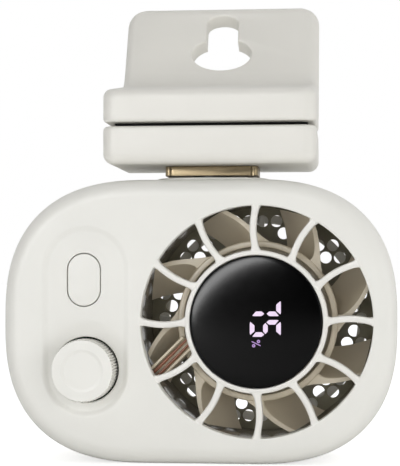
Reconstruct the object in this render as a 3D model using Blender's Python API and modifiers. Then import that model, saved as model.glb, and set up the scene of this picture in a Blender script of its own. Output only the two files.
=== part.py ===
"""Clip-on desk fan: a squircle housing with a ducted fan, a speed knob and a sprung clip on a swivel.

All sizes are in metres. +Z is up, the front of the fan looks along -Y, and the origin is the centre
of the flat face that the housing stands on.
"""

import math

import bmesh
import bpy
from mathutils import Vector

# Clearances
SEAT_GAP = 0.0003
THIN_GAP = 0.00015
BORE_GAP = 0.00025
FINE_GAP = 0.0001
SINK = 0.0005

# Fan unit
OPENING_RADIUS = 0.0292
DUCT_STEP = 0.0008
DUCT_WALL = 0.0012
RIM_THICKNESS = 0.0015
RIM_INSET = 0.0002
DUCT_RADIUS = OPENING_RADIUS + DUCT_STEP
DUCT_OUTER_RADIUS = DUCT_RADIUS + DUCT_WALL
RIM_RADIUS = DUCT_OUTER_RADIUS - RIM_INSET

# Housing outline, front view: the fan on the right, the controls on the left of its duct
WALL = 0.0020
FAN_SIDE_ROOM = 0.0021
FAN_TOP_ROOM = 0.0028
CONTROLS_WIDTH = 0.0335
FLAT_WIDTH = 0.0268
FLAT_HEIGHT = 0.0020
CORNER_POWER = 2.5
CORNER_SEGMENTS = 8
BODY_WIDTH = CONTROLS_WIDTH + 2 * DUCT_OUTER_RADIUS + FAN_SIDE_ROOM + WALL
BODY_HEIGHT = 2 * (DUCT_OUTER_RADIUS + FAN_TOP_ROOM + WALL)
CORNER_WIDTH = (BODY_WIDTH - FLAT_WIDTH) / 2
CORNER_HEIGHT = (BODY_HEIGHT - FLAT_HEIGHT) / 2
BODY_CENTRE_Z = BODY_HEIGHT / 2
LEFT_X = -BODY_WIDTH / 2
FAN_X = BODY_WIDTH / 2 - WALL - FAN_SIDE_ROOM - DUCT_OUTER_RADIUS
FAN_Z = BODY_CENTRE_Z

# Housing in depth
BODY_DEPTH = 0.0340
PARTING_DEPTH = 0.0235
FRONT_EDGE_ROUND = 0.0045
BACK_EDGE_ROUND = 0.0030
FRONT_Y = -BODY_DEPTH / 2
BACK_Y = BODY_DEPTH / 2
PARTING_Y = FRONT_Y + PARTING_DEPTH
FRONT_INNER_Y = FRONT_Y + WALL
BACK_INNER_Y = BACK_Y - WALL
FRONT_RIM_Y = FRONT_INNER_Y + SEAT_GAP
DUCT_FRONT_Y = FRONT_RIM_Y + RIM_THICKNESS + SEAT_GAP

# Front grille
RIB_COUNT = 12
RIB_WIDTH = 0.0017
RIB_DEPTH = 0.0035
RIB_BULGE = 0.0008
RIB_FRONT_DROP = 0.0001
RIB_FOOT_LENGTH = 0.0012
HUB_RING_RADIUS = 0.0180
HUB_RING_WALL = 0.0011
HUB_RING_DEPTH = 0.0075
RIB_FRONT_Y = FRONT_Y + RIB_FRONT_DROP
RIB_BACK_Y = RIB_FRONT_Y + RIB_DEPTH
RIB_TIP_RADIUS = OPENING_RADIUS - SEAT_GAP
HUB_RING_BACK_Y = FRONT_Y + HUB_RING_DEPTH
HUB_RING_BORE = HUB_RING_RADIUS - HUB_RING_WALL

# Lead channel and display leads
CHANNEL_INNER_ANGLE = math.radians(196)
CHANNEL_OUTER_ANGLE = math.radians(208)
CHANNEL_WIDTH = 0.0041
CHANNEL_DEPTH = 0.0025
CHANNEL_WALL = 0.0007
CHANNEL_SETBACK = 0.0065
LEAD_RADIUS = 0.00048
LEAD_SPREAD = 0.00065
LEAD_BEND = 0.0024
LEAD_INSIDE = 0.0026
CHANNEL_BACK_Y = FRONT_Y + CHANNEL_SETBACK
CHANNEL_FRONT_Y = CHANNEL_BACK_Y - CHANNEL_DEPTH

# Impeller
ROTOR_GAP = 0.0005
BLADE_COUNT = 8
BLADE_TIP_GAP = 0.0006
BLADE_THICKNESS = 0.0013
BLADE_SWEEP = math.radians(22)
BLADE_ROOT_WRAP = math.radians(27)
BLADE_TIP_WRAP = math.radians(17)
BLADE_START = math.radians(-4.5)
BLADE_CAMBER = 0.0012
BLADE_DEPTH = 0.0130
HUB_RING_CLEARANCE = 0.0009
HUB_WALL = 0.0016
HUB_WEB_SETBACK = 0.0030
HUB_WEB = 0.0018
HUB_SKIRT = 0.0005
IMPELLER_BOSS_RADIUS = 0.0032
IMPELLER_BOSS_HEIGHT = 0.0008
SOCKET_WALL = 0.0011
SOCKET_SHORT = 0.0030
HUB_RADIUS = HUB_RING_RADIUS + HUB_RING_CLEARANCE + HUB_WALL
HUB_BORE = HUB_RADIUS - HUB_WALL
HUB_FRONT_Y = CHANNEL_BACK_Y + ROTOR_GAP
HUB_WEB_Y = HUB_FRONT_Y + HUB_WEB_SETBACK
WEB_BACK_Y = HUB_WEB_Y + HUB_WEB
BLADE_FRONT_Y = HUB_FRONT_Y + ROTOR_GAP
BLADE_BACK_Y = BLADE_FRONT_Y + BLADE_DEPTH
BLADE_TIP_RADIUS = DUCT_RADIUS - BLADE_TIP_GAP

# Motor
SHAFT_RADIUS = 0.0009
CAN_RADIUS = 0.0125
CAN_WALL = 0.0006
CAN_DEPTH = 0.0104
MAGNET_WALL = 0.0013
MAGNET_SETBACK = 0.0006
STATOR_GAP = 0.0005
STATOR_TEETH = 9
STATOR_DEPTH = 0.0070
STATOR_CORE_WALL = 0.0022
STATOR_TIP = 0.0012
BEARING_TUBE_WALL = 0.0008
BEARING_FIT = 0.0002
BEARING_RADIUS = 0.0024
BEARING_LENGTH = 0.0022
MOTOR_BASE_RADIUS = 0.0110
MOTOR_BASE_THICKNESS = 0.0011
MOTOR_BOARD_THICKNESS = 0.0010
MOTOR_BOARD_REACH = 0.0002
MOTOR_LEAD_INSET = 0.0016
MOTOR_LEAD_DROP = 0.0028
CAN_FRONT_Y = WEB_BACK_Y + SEAT_GAP
CAN_BACK_Y = CAN_FRONT_Y + CAN_DEPTH
HUB_BACK_Y = CAN_BACK_Y + HUB_SKIRT
MAGNET_RADIUS = CAN_RADIUS - CAN_WALL - SEAT_GAP
STATOR_RADIUS = MAGNET_RADIUS - MAGNET_WALL - STATOR_GAP
TUBE_BORE = BEARING_RADIUS + BEARING_FIT
TUBE_RADIUS = TUBE_BORE + BEARING_TUBE_WALL
TUBE_FRONT_Y = CAN_FRONT_Y + CAN_WALL + SINK
MOTOR_BOARD_Y = CAN_BACK_Y - MOTOR_BOARD_REACH
MOTOR_BASE_Y = MOTOR_BOARD_Y + MOTOR_BOARD_THICKNESS + SEAT_GAP
MOTOR_BASE_BACK_Y = MOTOR_BASE_Y + MOTOR_BASE_THICKNESS

# Rear grille and mesh
REAR_HUB_RADIUS = 0.0120
REAR_BOSS_RADIUS = 0.0060
REAR_RIB_DEPTH = 0.0033
MESH_THICKNESS = 0.0006
MESH_HOLE_RADIUS = 0.0016
MESH_PITCH = 0.0038
MESH_BAND = 0.0045
MESH_MARGIN = 0.0008
REAR_RING_COUNT = 2
REAR_RING_WIDTH = 0.0024
REAR_RING_REST = 0.3
REAR_RING_DEPTH = 0.0016
REAR_RIM_Y = BACK_INNER_Y - SEAT_GAP
MESH_BACK_Y = REAR_RIM_Y - RIM_THICKNESS - SEAT_GAP
DUCT_BACK_Y = MESH_BACK_Y - MESH_THICKNESS - SEAT_GAP

# Display
LENS_RIM_DEPTH = 0.0012
LENS_DOME = 0.0015
LENS_SETBACK = 0.0001
CUP_WALL = 0.0012
CUP_DEPTH = 0.0056
DISPLAY_BOARD_THICKNESS = 0.0010
MODULE_WIDTH = 0.0120
MODULE_HEIGHT = 0.0240
MODULE_DEPTH = 0.0022
MODULE_CORNER = 0.0010
LENS_RADIUS = HUB_RING_BORE - SEAT_GAP
LENS_FRONT_Y = FRONT_Y - LENS_SETBACK
CUP_FRONT_Y = LENS_FRONT_Y + LENS_RIM_DEPTH + SEAT_GAP
CUP_BACK_Y = CUP_FRONT_Y + CUP_DEPTH
MODULE_FRONT_Y = CUP_FRONT_Y + FINE_GAP
DISPLAY_BOARD_Y = MODULE_FRONT_Y + MODULE_DEPTH + SEAT_GAP

# Main board
BOARD_SETBACK = 0.0078
BOARD_THICKNESS = 0.0012
BOARD_LEFT_ROOM = 0.0055
BOARD_DUCT_ROOM = 0.0030
BOARD_MARGIN = 0.0135
BOARD_CORNER = 0.0080
BOARD_FRONT_Y = FRONT_Y + BOARD_SETBACK
BOARD_BACK_Y = BOARD_FRONT_Y + BOARD_THICKNESS
BOARD_LEFT_X = LEFT_X + BOARD_LEFT_ROOM
BOARD_RIGHT_X = FAN_X - DUCT_OUTER_RADIUS - BOARD_DUCT_ROOM
BOARD_HEIGHT = BODY_HEIGHT - 2 * BOARD_MARGIN

# Controls
TRACK_INSET = 0.0216
TRACK_WIDTH = 0.0207
TRACK_MARGIN = 0.0125
TRACK_DEPTH = 0.00035
BUTTON_SHIFT = 0.0005
BUTTON_RISE = 0.0105
BUTTON_WIDTH = 0.0082
BUTTON_HEIGHT = 0.0132
BUTTON_GAP = 0.00025
BUTTON_LIP = 0.0009
BUTTON_LIP_THICKNESS = 0.0008
BUTTON_TRAVEL = 0.0004
BUTTON_PROUD = 0.0002
BUTTON_ROUND = 0.0003
SWITCH_SIZE = 0.0060
SWITCH_HEIGHT = 0.0026
SWITCH_PLUNGER_RADIUS = 0.0016
SWITCH_PLUNGER_LENGTH = 0.0006
KNOB_DROP = 0.0122
KNOB_HOLE_GAP = 0.0006
KNOB_RADIUS = 0.0079
KNURL_DEPTH = 0.0004
KNURL_COUNT = 28
KNOB_PROUD = 0.0050
KNOB_EDGE = 0.0007
KNOB_DISH_RADIUS = 0.0050
KNOB_DISH_DEPTH = 0.0004
KNOB_DISH_SLOPE = 0.0005
KNOB_BACK_ROOM = 0.0003
BOWL_DEPTH = 0.0007
ENCODER_SIZE = 0.0100
ENCODER_DEPTH = 0.0031
ENCODER_SHAFT_RADIUS = 0.0030
ENCODER_SHAFT_REACH = 0.0058
TRACK_X = LEFT_X + TRACK_INSET
TRACK_HEIGHT = BODY_HEIGHT - 2 * TRACK_MARGIN
TRACK_FLOOR_Y = FRONT_Y + TRACK_DEPTH
BUTTON_X = TRACK_X - BUTTON_SHIFT
BUTTON_Z = BODY_CENTRE_Z + BUTTON_RISE
KNOB_Z = BODY_CENTRE_Z - KNOB_DROP
KNOB_HOLE_RADIUS = KNOB_RADIUS + KNOB_HOLE_GAP
KNOB_FRONT_Y = FRONT_Y - KNOB_PROUD
SWITCH_BACK_Y = BOARD_FRONT_Y - SEAT_GAP
ENCODER_FRONT_Y = SWITCH_BACK_Y - ENCODER_DEPTH

# Charging inlet and battery
PORT_WIDTH = 0.0089
PORT_THICKNESS = 0.0032
PORT_LENGTH = 0.0072
PORT_SHELL = 0.0004
PORT_SETBACK = 0.0003
TONGUE_WIDTH = 0.0066
TONGUE_THICKNESS = 0.0007
TONGUE_SETBACK = 0.0008
CELL_LEFT_ROOM = 0.0080
CELL_MARGIN = 0.0155
CELL_DEPTH = 0.0100
CELL_ROUND = 0.0010
CELL_CORNER = 0.0020
CELL_LEAD_X = 0.0020
CELL_LEAD_PITCH = 0.0025
PORT_Z = BODY_CENTRE_Z
CELL_LEFT_X = LEFT_X + CELL_LEFT_ROOM
CELL_HEIGHT = BODY_HEIGHT - 2 * CELL_MARGIN

# Case screws
SCREW_LEFT_INSET = 0.0155
SCREW_MARGIN = 0.0108
SCREW_SHANK_RADIUS = 0.0008
SCREW_HEAD_RADIUS = 0.0018
SCREW_HEAD_HEIGHT = 0.0013
SCREW_LENGTH = 0.0190
BOSS_WALL = 0.0011
REAR_BOSS_WALL = 0.0006
SCREW_BORE = SCREW_SHANK_RADIUS + SEAT_GAP
SCREW_HEAD_BORE = SCREW_HEAD_RADIUS + SEAT_GAP
SCREW_REACH = DUCT_OUTER_RADIUS + SCREW_HEAD_BORE + REAR_BOSS_WALL + FINE_GAP

# Swivel
SWIVEL_X = 0.0024
SWIVEL_BASE_LENGTH = 0.0295
SWIVEL_BASE_WIDTH = 0.0170
SWIVEL_BASE_THICKNESS = 0.0007
COLLAR_WALL = 0.0019
COLLAR_LENGTH = 0.0045
POST_RADIUS = 0.0025
POST_FLANGE_WIDTH = 0.0014
POST_FLANGE_THICKNESS = 0.0007
POST_INSERT = 0.0041
NUT_WALL = 0.0023
NUT_THICKNESS = 0.0013
WASHER_THICKNESS = 0.00035
WASHER_WIDTH = 0.0026
BLOCK_LENGTH = 0.0242
BLOCK_WIDTH = 0.0110
BLOCK_HEIGHT = 0.00245
BLOCK_CORNER = 0.0022
BLOCK_GROOVE = 0.0006
BLOCK_GROOVE_INSET = 0.0015
POST_BORE = POST_RADIUS + SEAT_GAP
COLLAR_RADIUS = POST_BORE + COLLAR_WALL
NUT_BORE = COLLAR_RADIUS + THIN_GAP
TOP_INNER_Z = BODY_HEIGHT - WALL
BASE_BOTTOM_Z = BODY_HEIGHT + THIN_GAP
BASE_TOP_Z = BASE_BOTTOM_Z + SWIVEL_BASE_THICKNESS
COLLAR_BOTTOM_Z = BASE_BOTTOM_Z - COLLAR_LENGTH
WASHER_BOTTOM_Z = BASE_TOP_Z + THIN_GAP
BLOCK_BOTTOM_Z = WASHER_BOTTOM_Z + WASHER_THICKNESS + THIN_GAP
BLOCK_TOP_Z = BLOCK_BOTTOM_Z + BLOCK_HEIGHT
JAW_BOTTOM_Z = BLOCK_TOP_Z + THIN_GAP

# Clip jaws and pads
CLIP_WIDTH = 0.0548
JAW_REACH = 0.0140
JAW_TAIL = 0.0095
LOWER_JAW_HEIGHT = 0.00965
JAW_GAP = 0.0011
JAW_CORNER = 0.0035
LOWER_JAW_BOTTOM_ROUND = 0.0027
JAW_LIP_ROUND = 0.0010
UPPER_JAW_FRONT_HEIGHT = 0.0082
UPPER_JAW_TOP_ROUND = 0.0022
UPPER_JAW_SLOPE = math.radians(9.2)
PAD_SIDE_INSET = 0.0025
PAD_FRONT_INSET = 0.0050
PAD_LENGTH = 0.0147
PAD_THICKNESS = 0.0012
PAD_PROUD = 0.0004
PAD_CORNER = 0.0015
PAD_TO_HINGE = 0.0063
PAD_WIDTH = CLIP_WIDTH - 2 * PAD_SIDE_INSET
JAW_FRONT_Y = -JAW_REACH
HINGE_Y = JAW_FRONT_Y + PAD_FRONT_INSET + PAD_LENGTH + PAD_TO_HINGE
JAW_BACK_Y = HINGE_Y + JAW_TAIL
GAP_BOTTOM_Z = JAW_BOTTOM_Z + LOWER_JAW_HEIGHT
GAP_TOP_Z = GAP_BOTTOM_Z + JAW_GAP
HINGE_Z = GAP_BOTTOM_Z + JAW_GAP / 2
JAW_FRONT_TOP_Z = GAP_TOP_Z + UPPER_JAW_FRONT_HEIGHT

# Clip hinge and spring
SPRING_MEAN_RADIUS = 0.0032
SPRING_WIRE_RADIUS = 0.0005
SPRING_TURNS = 6.5
SPRING_PITCH = 0.001723
SPRING_POINTS_PER_TURN = 9
SPRING_LEG_SHORT = 0.0010
BAY_SIDE_ROOM = 0.0029
BAY_FRONT_ROOM = 0.0011
HINGE_PIN_RADIUS = 0.00125
HINGE_PIN_RECESS = 0.0002
KNUCKLE_WALL = 0.0019
KNUCKLE_RELIEF = 0.0004
EAR_WIDTH = 0.0040
KNUCKLE_WIDTH = 0.0043
KNUCKLE_SIDE_GAP = 0.0003
OPEN_ANGLE = math.radians(35)
REAR_STOP_GAP = 0.0004
SPRING_LENGTH = SPRING_TURNS * SPRING_PITCH
SPRING_REACH = SPRING_MEAN_RADIUS + SPRING_WIRE_RADIUS
SPRING_LEG = JAW_TAIL - SPRING_LEG_SHORT
BAY_HALF_WIDTH = SPRING_LENGTH / 2 + SPRING_WIRE_RADIUS + BAY_SIDE_ROOM
BAY_FRONT_Y = HINGE_Y - SPRING_REACH - BAY_FRONT_ROOM
PIN_BORE = HINGE_PIN_RADIUS + BORE_GAP
KNUCKLE_RADIUS = PIN_BORE + KNUCKLE_WALL
EAR_INNER = BAY_HALF_WIDTH + KNUCKLE_SIDE_GAP
EAR_END = EAR_INNER + EAR_WIDTH
KNUCKLE_START = EAR_END + 2 * KNUCKLE_SIDE_GAP
KNUCKLE_END = KNUCKLE_START + KNUCKLE_WIDTH

# Handle plate and keyhole
HANDLE_LEAN = math.radians(24)
HANDLE_THICKNESS = 0.0060
HANDLE_ROUND = 0.0024
HANDLE_CORNER = 0.0056
HANDLE_SETBACK = 0.0085
HANDLE_LENGTH = 0.0264
INNER_BEND_RADIUS = 0.0086
OUTER_BEND_RADIUS = 0.0040
BEND_RUN = 0.0050
BEND_LAG = 0.0040
KEYHOLE_HEIGHT = 0.0103
KEYHOLE_LOBE_HALF_WIDTH = 0.0090
KEYHOLE_LOBE_HALF_HEIGHT = 0.00525
KEYHOLE_SLOT_HALF_WIDTH = 0.0045
KEYHOLE_ARCH = 0.0027
KEYHOLE_REACH = 0.0128
HANDLE_FOOT_Y = HINGE_Y + HANDLE_SETBACK

PARTS_NAME = "clip_on_desk_fan"
TOOLS_NAME = "cutters"


def clear_scene():
    """Empty the scene and give it one collection for the parts and one for the cutters."""
    for item in list(bpy.data.objects):
        bpy.data.objects.remove(item, do_unlink=True)
    for name in (PARTS_NAME, TOOLS_NAME):
        group = bpy.data.collections.new(name)
        bpy.context.scene.collection.children.link(group)


def finish_material(name, colour, roughness, metallic=0.0):
    """A Principled material, made once and shared by the parts that have the same finish."""
    material = bpy.data.materials.get(name)
    if material is None:
        material = bpy.data.materials.new(name)
        material.use_nodes = True
        shader = material.node_tree.nodes["Principled BSDF"]
        shader.inputs["Base Color"].default_value = (*colour, 1.0)
        shader.inputs["Roughness"].default_value = roughness
        shader.inputs["Metallic"].default_value = metallic
    return material


def white_plastic():
    return finish_material("white_plastic", (0.78, 0.77, 0.72), 0.42)


def beige_plastic():
    return finish_material("beige_plastic", (0.46, 0.41, 0.31), 0.45)


def dark_gloss():
    return finish_material("dark_gloss", (0.045, 0.038, 0.035), 0.12)


def dark_mesh_paint():
    return finish_material("dark_mesh_paint", (0.065, 0.058, 0.038), 0.5)


def lens_black():
    return finish_material("lens_black", (0.004, 0.004, 0.005), 0.08)


def black_plastic():
    return finish_material("black_plastic", (0.02, 0.02, 0.02), 0.5)


def black_rubber():
    return finish_material("black_rubber", (0.012, 0.012, 0.012), 0.8)


def champagne_metal():
    return finish_material("champagne_metal", (0.44, 0.37, 0.25), 0.35, 0.6)


def plain_steel():
    return finish_material("plain_steel", (0.55, 0.55, 0.56), 0.3, 1.0)


def bearing_brass():
    return finish_material("bearing_brass", (0.60, 0.42, 0.18), 0.35, 1.0)


def magnet_grey():
    return finish_material("magnet_grey", (0.09, 0.09, 0.095), 0.6, 0.3)


def board_green():
    return finish_material("board_green", (0.02, 0.12, 0.05), 0.4)


def lead_brown():
    return finish_material("lead_brown", (0.30, 0.14, 0.07), 0.45)


def lead_red():
    return finish_material("lead_red", (0.45, 0.02, 0.02), 0.45)


def lead_black():
    return finish_material("lead_black", (0.015, 0.015, 0.015), 0.45)


def cell_foil():
    return finish_material("cell_foil", (0.50, 0.52, 0.55), 0.35, 0.8)


def display_white():
    return finish_material("display_white", (0.60, 0.60, 0.62), 0.5)


def add_object(name, data, material=None, tool=False):
    """Link new data as an object: a part with its material, or a cutter that only shows as wire."""
    item = bpy.data.objects.new(name, data)
    group = bpy.data.collections[TOOLS_NAME if tool else PARTS_NAME]
    group.objects.link(item)
    if tool:
        item.hide_render = True
        item.display_type = "WIRE"
    if material is not None:
        item.data.materials.append(material)
    return item


def shade(item, sharp_angle=math.radians(35)):
    """Smooth shading with edges kept sharp past the given angle."""
    item.data.shade_smooth()
    item.data.set_sharp_from_angle(angle=sharp_angle)


def mesh_from(build_mesh, name):
    """Mesh data filled by a bmesh function, with its faces turned outwards."""
    mesh = bpy.data.meshes.new(name)
    work = bmesh.new()
    build_mesh(work)
    bmesh.ops.recalc_face_normals(work, faces=work.faces)
    work.to_mesh(mesh)
    work.free()
    return mesh


def on_axis(u, v, level, axis):
    """A point of a flat outline at a level along its extrusion axis."""
    if axis == "X":
        return Vector((level, u, v))
    if axis == "Y":
        return Vector((u, level, v))
    return Vector((u, v, level))


def prism(name, outline, low, high, axis="Y", low_round=0.0, high_round=0.0, steps=4,
          at=(0.0, 0.0, 0.0), material=None, tool=False):
    """Solid made by extruding an outline between two levels, with optional rounded rims."""

    def build_mesh(work):
        ring = [work.verts.new(on_axis(u, v, low, axis)) for u, v in outline]
        face = work.faces.new(ring)
        grown = bmesh.ops.extrude_face_region(work, geom=[face])["geom"]
        moved = [part for part in grown if isinstance(part, bmesh.types.BMVert)]
        bmesh.ops.translate(work, verts=moved, vec=on_axis(0.0, 0.0, high - low, axis))
        bmesh.ops.recalc_face_normals(work, faces=work.faces)
        for level, size in ((low, low_round), (high, high_round)):
            if size > 0.0:
                round_rim(work, level, size, axis, steps)

    item = add_object(name, mesh_from(build_mesh, name), material, tool)
    item.location = at
    shade(item)
    return item


def round_rim(work, level, size, axis, steps):
    """Bevel every edge that lies wholly at one level."""
    slot = "XYZ".index(axis)
    rim = [edge for edge in work.edges if all(abs(v.co[slot] - level) < 1e-7 for v in edge.verts)]
    bmesh.ops.bevel(work, geom=rim, offset=size, offset_type="OFFSET", segments=steps,
                    profile=0.5, affect="EDGES", clamp_overlap=False)


def box(name, size, at, turn=(0.0, 0.0, 0.0), round_edges=0.0, material=None, tool=False):
    """Cube primitive of a given size, centred at a point, with its edges rounded if wanted."""

    def build_mesh(work):
        bmesh.ops.create_cube(work, size=1.0)
        bmesh.ops.scale(work, vec=Vector(size), verts=work.verts)

    item = add_object(name, mesh_from(build_mesh, name), material, tool)
    item.location = at
    item.rotation_euler = turn
    if round_edges > 0.0:
        bevel = item.modifiers.new("rounded_edges", "BEVEL")
        bevel.width = round_edges
        bevel.segments = 2
    return item


AXIS_TURN = {
    "X": (0.0, math.pi / 2, 0.0),
    "Y": (-math.pi / 2, 0.0, 0.0),
    "Z": (0.0, 0.0, 0.0),
}


def turned(name, profile, axis="Y", at=(0.0, 0.0, 0.0), steps=32, material=None, tool=False):
    """Turned solid: (radius, level) points screwed round an axis.

    The points run along the outer side from the high level to the low one. A profile that starts
    and ends on the axis is solid, any other is closed into a ring.
    """
    mesh = bpy.data.meshes.new(name)
    points = [(radius, 0.0, level) for radius, level in profile]
    edges = [(i, i + 1) for i in range(len(points) - 1)]
    if profile[0][0] > 0.0:
        edges.append((len(points) - 1, 0))
    mesh.from_pydata(points, edges, [])
    item = add_object(name, mesh, material, tool)
    item.location = at
    item.rotation_euler = AXIS_TURN[axis]
    screw = item.modifiers.new("turning", "SCREW")
    screw.steps = steps
    screw.render_steps = steps
    screw.use_merge_vertices = True
    screw.merge_threshold = 0.00001
    screw.use_smooth_shade = True
    return item


def ring(name, outer, inner, low, high, **options):
    """Plain turned ring between two levels."""
    profile = [(outer, high), (outer, low), (inner, low), (inner, high)]
    return turned(name, profile, **options)


def rod(name, radius, low, high, **options):
    """Plain turned rod between two levels."""
    profile = [(0.0, high), (radius, high), (radius, low), (0.0, low)]
    return turned(name, profile, **options)


def flat_plate(name, outlines, low, high, at=(0.0, 0.0, 0.0), material=None, tool=False):
    """Plate in the XZ plane from a filled 2D curve: the first outline, less the others."""
    curve = bpy.data.curves.new(name, "CURVE")
    curve.dimensions = "2D"
    curve.fill_mode = "BOTH"
    curve.extrude = (high - low) / 2
    for outline in outlines:
        spline = curve.splines.new("POLY")
        spline.points.add(len(outline) - 1)
        for point, (u, v) in zip(spline.points, outline):
            point.co = (u, v, 0.0, 1.0)
        spline.use_cyclic_u = True
    item = add_object(name, curve, material, tool)
    item.location = (at[0], at[1] + (low + high) / 2, at[2])
    item.rotation_euler = (math.pi / 2, 0.0, 0.0)
    return item


def wire(name, points, radius, material, sides=1):
    """Wire with filled ends along a polyline."""
    curve = bpy.data.curves.new(name, "CURVE")
    curve.dimensions = "3D"
    curve.bevel_depth = radius
    curve.bevel_resolution = sides
    curve.use_fill_caps = True
    spline = curve.splines.new("POLY")
    spline.points.add(len(points) - 1)
    for target, point in zip(spline.points, points):
        target.co = (*point, 1.0)
    return add_object(name, curve, material)


def as_mesh(item):
    """Replace a curve object by the mesh that it makes, with its caps welded on."""
    bpy.context.view_layer.update()
    graph = bpy.context.evaluated_depsgraph_get()
    mesh = bpy.data.meshes.new_from_object(item.evaluated_get(graph))
    name = item.name
    place = item.matrix_world.copy()
    group = item.users_collection[0]
    hidden = item.hide_render
    bpy.data.objects.remove(item, do_unlink=True)
    work = bmesh.new()
    work.from_mesh(mesh)
    bmesh.ops.remove_doubles(work, verts=work.verts, dist=1e-6)
    bmesh.ops.recalc_face_normals(work, faces=work.faces)
    work.to_mesh(mesh)
    work.free()
    solid = bpy.data.objects.new(name, mesh)
    group.objects.link(solid)
    solid.matrix_world = place
    if hidden:
        solid.hide_render = True
        solid.display_type = "WIRE"
    return solid


def combine(item, other, operation):
    """Boolean of one object with a cutter or a joined form."""
    boolean = item.modifiers.new(operation.lower() + "_" + other.name, "BOOLEAN")
    boolean.operation = operation
    boolean.object = other
    boolean.solver = "EXACT"


def cut(item, *others):
    for other in others:
        combine(item, other, "DIFFERENCE")


def join(item, *others):
    for other in others:
        combine(item, other, "UNION")


def arc(centre, radius, start, end, count):
    """Points of an arc, ends included."""
    angles = [start + (end - start) * i / (count - 1) for i in range(count)]
    return [(centre[0] + radius * math.cos(a), centre[1] + radius * math.sin(a)) for a in angles]


def circle(radius, count):
    angles = [2 * math.pi * i / count for i in range(count)]
    return [(radius * math.cos(a), radius * math.sin(a)) for a in angles]


def ellipse_arc(half_width, half_height, start, end, count, rise=0.0):
    angles = [start + (end - start) * i / (count - 1) for i in range(count)]
    return [(half_width * math.cos(a), rise + half_height * math.sin(a)) for a in angles]


def rounded_rectangle(width, height, corner, steps=5, corners=None):
    """Rectangle outline about the origin; corners can give the four radii, from the upper right."""
    radii = corners or (corner, corner, corner, corner)
    signs = ((1, 1), (-1, 1), (-1, -1), (1, -1))
    points = []
    for quarter, ((sx, sy), radius) in enumerate(zip(signs, radii)):
        centre = (sx * (width / 2 - radius), sy * (height / 2 - radius))
        start = quarter * math.pi / 2
        points += arc(centre, radius, start, start + math.pi / 2, steps)
    return points


def pill(width, height, grow=0.0, steps=9):
    """Stadium outline, upright or lying, grown by an offset."""
    radius = min(width, height) / 2 + grow
    reach = abs(height - width) / 2
    count = 2 * steps - 1
    points = arc((0.0, reach), radius, 0.0, math.pi, count)
    points += arc((0.0, -reach), radius, math.pi, 2 * math.pi, count)
    if width > height:
        points = [(v, -u) for u, v in points]
    return points


def body_outline(inset=0.0):
    """Squircle outline of the housing about its centre, moved inwards by an inset.

    Each corner is a quarter of a superellipse, and its points move along their normals.
    """
    points = []
    flat_x = BODY_WIDTH / 2 - CORNER_WIDTH
    flat_z = BODY_HEIGHT / 2 - CORNER_HEIGHT
    exponent = 2 / CORNER_POWER
    for quarter in range(4):
        for step in range(CORNER_SEGMENTS + 1):
            angle = math.pi / 2 * step / CORNER_SEGMENTS
            if quarter % 2:
                angle = math.pi / 2 - angle
            across = math.cos(angle) ** exponent if step or quarter % 2 else 1.0
            upward = math.sin(angle) ** exponent if math.sin(angle) > 1e-9 else 0.0
            if math.cos(angle) < 1e-9:
                across = 0.0
            normal = Vector((across ** (CORNER_POWER - 1) / CORNER_WIDTH,
                             upward ** (CORNER_POWER - 1) / CORNER_HEIGHT)).normalized()
            x = flat_x + CORNER_WIDTH * across - inset * normal.x
            z = flat_z + CORNER_HEIGHT * upward - inset * normal.y
            sign_x = 1 if quarter in (0, 3) else -1
            sign_z = 1 if quarter in (0, 1) else -1
            points.append((sign_x * x, sign_z * z))
    return points


def housing_shell(name, closed_y, open_y, edge_round):
    """Half of the housing: an open surface with a rounded rim, thickened inwards."""
    outward = 1.0 if closed_y > open_y else -1.0

    def build_mesh(work):
        loop = [work.verts.new((x, closed_y, z)) for x, z in body_outline()]
        face = work.faces.new(loop)
        grown = bmesh.ops.extrude_face_region(work, geom=[face])["geom"]
        moved = [part for part in grown if isinstance(part, bmesh.types.BMVert)]
        bmesh.ops.translate(work, verts=moved, vec=(0.0, open_y - closed_y, 0.0))
        bmesh.ops.recalc_face_normals(work, faces=work.faces)
        round_rim(work, closed_y, edge_round, "Y", 3)
        lid = [f for f in work.faces if all(abs(v.co.y - open_y) < 1e-7 for v in f.verts)]
        bmesh.ops.delete(work, geom=lid, context="FACES_ONLY")

    mesh = bpy.data.meshes.new(name)
    work = bmesh.new()
    build_mesh(work)
    bmesh.ops.recalc_face_normals(work, faces=work.faces)
    cap = max(work.faces, key=lambda f: f.calc_area())
    if cap.normal.y * outward < 0:
        bmesh.ops.reverse_faces(work, faces=work.faces)
    work.to_mesh(mesh)
    work.free()
    item = add_object(name, mesh, white_plastic())
    item.location = (0.0, 0.0, BODY_CENTRE_Z)
    shade(item)
    wall = item.modifiers.new("wall", "SOLIDIFY")
    wall.thickness = WALL
    wall.offset = -1.0
    wall.use_even_offset = True
    return item


def screw_places():
    """Centres of the four case screws, beside the control track and outside the duct."""
    slant = SCREW_REACH * math.sqrt(0.5)
    left_rise = BODY_HEIGHT / 2 - SCREW_MARGIN
    places = []
    for side in (1, -1):
        places.append((FAN_X + slant, FAN_Z + side * slant))
        places.append((LEFT_X + SCREW_LEFT_INSET, BODY_CENTRE_Z + side * left_rise))
    return places


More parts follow.
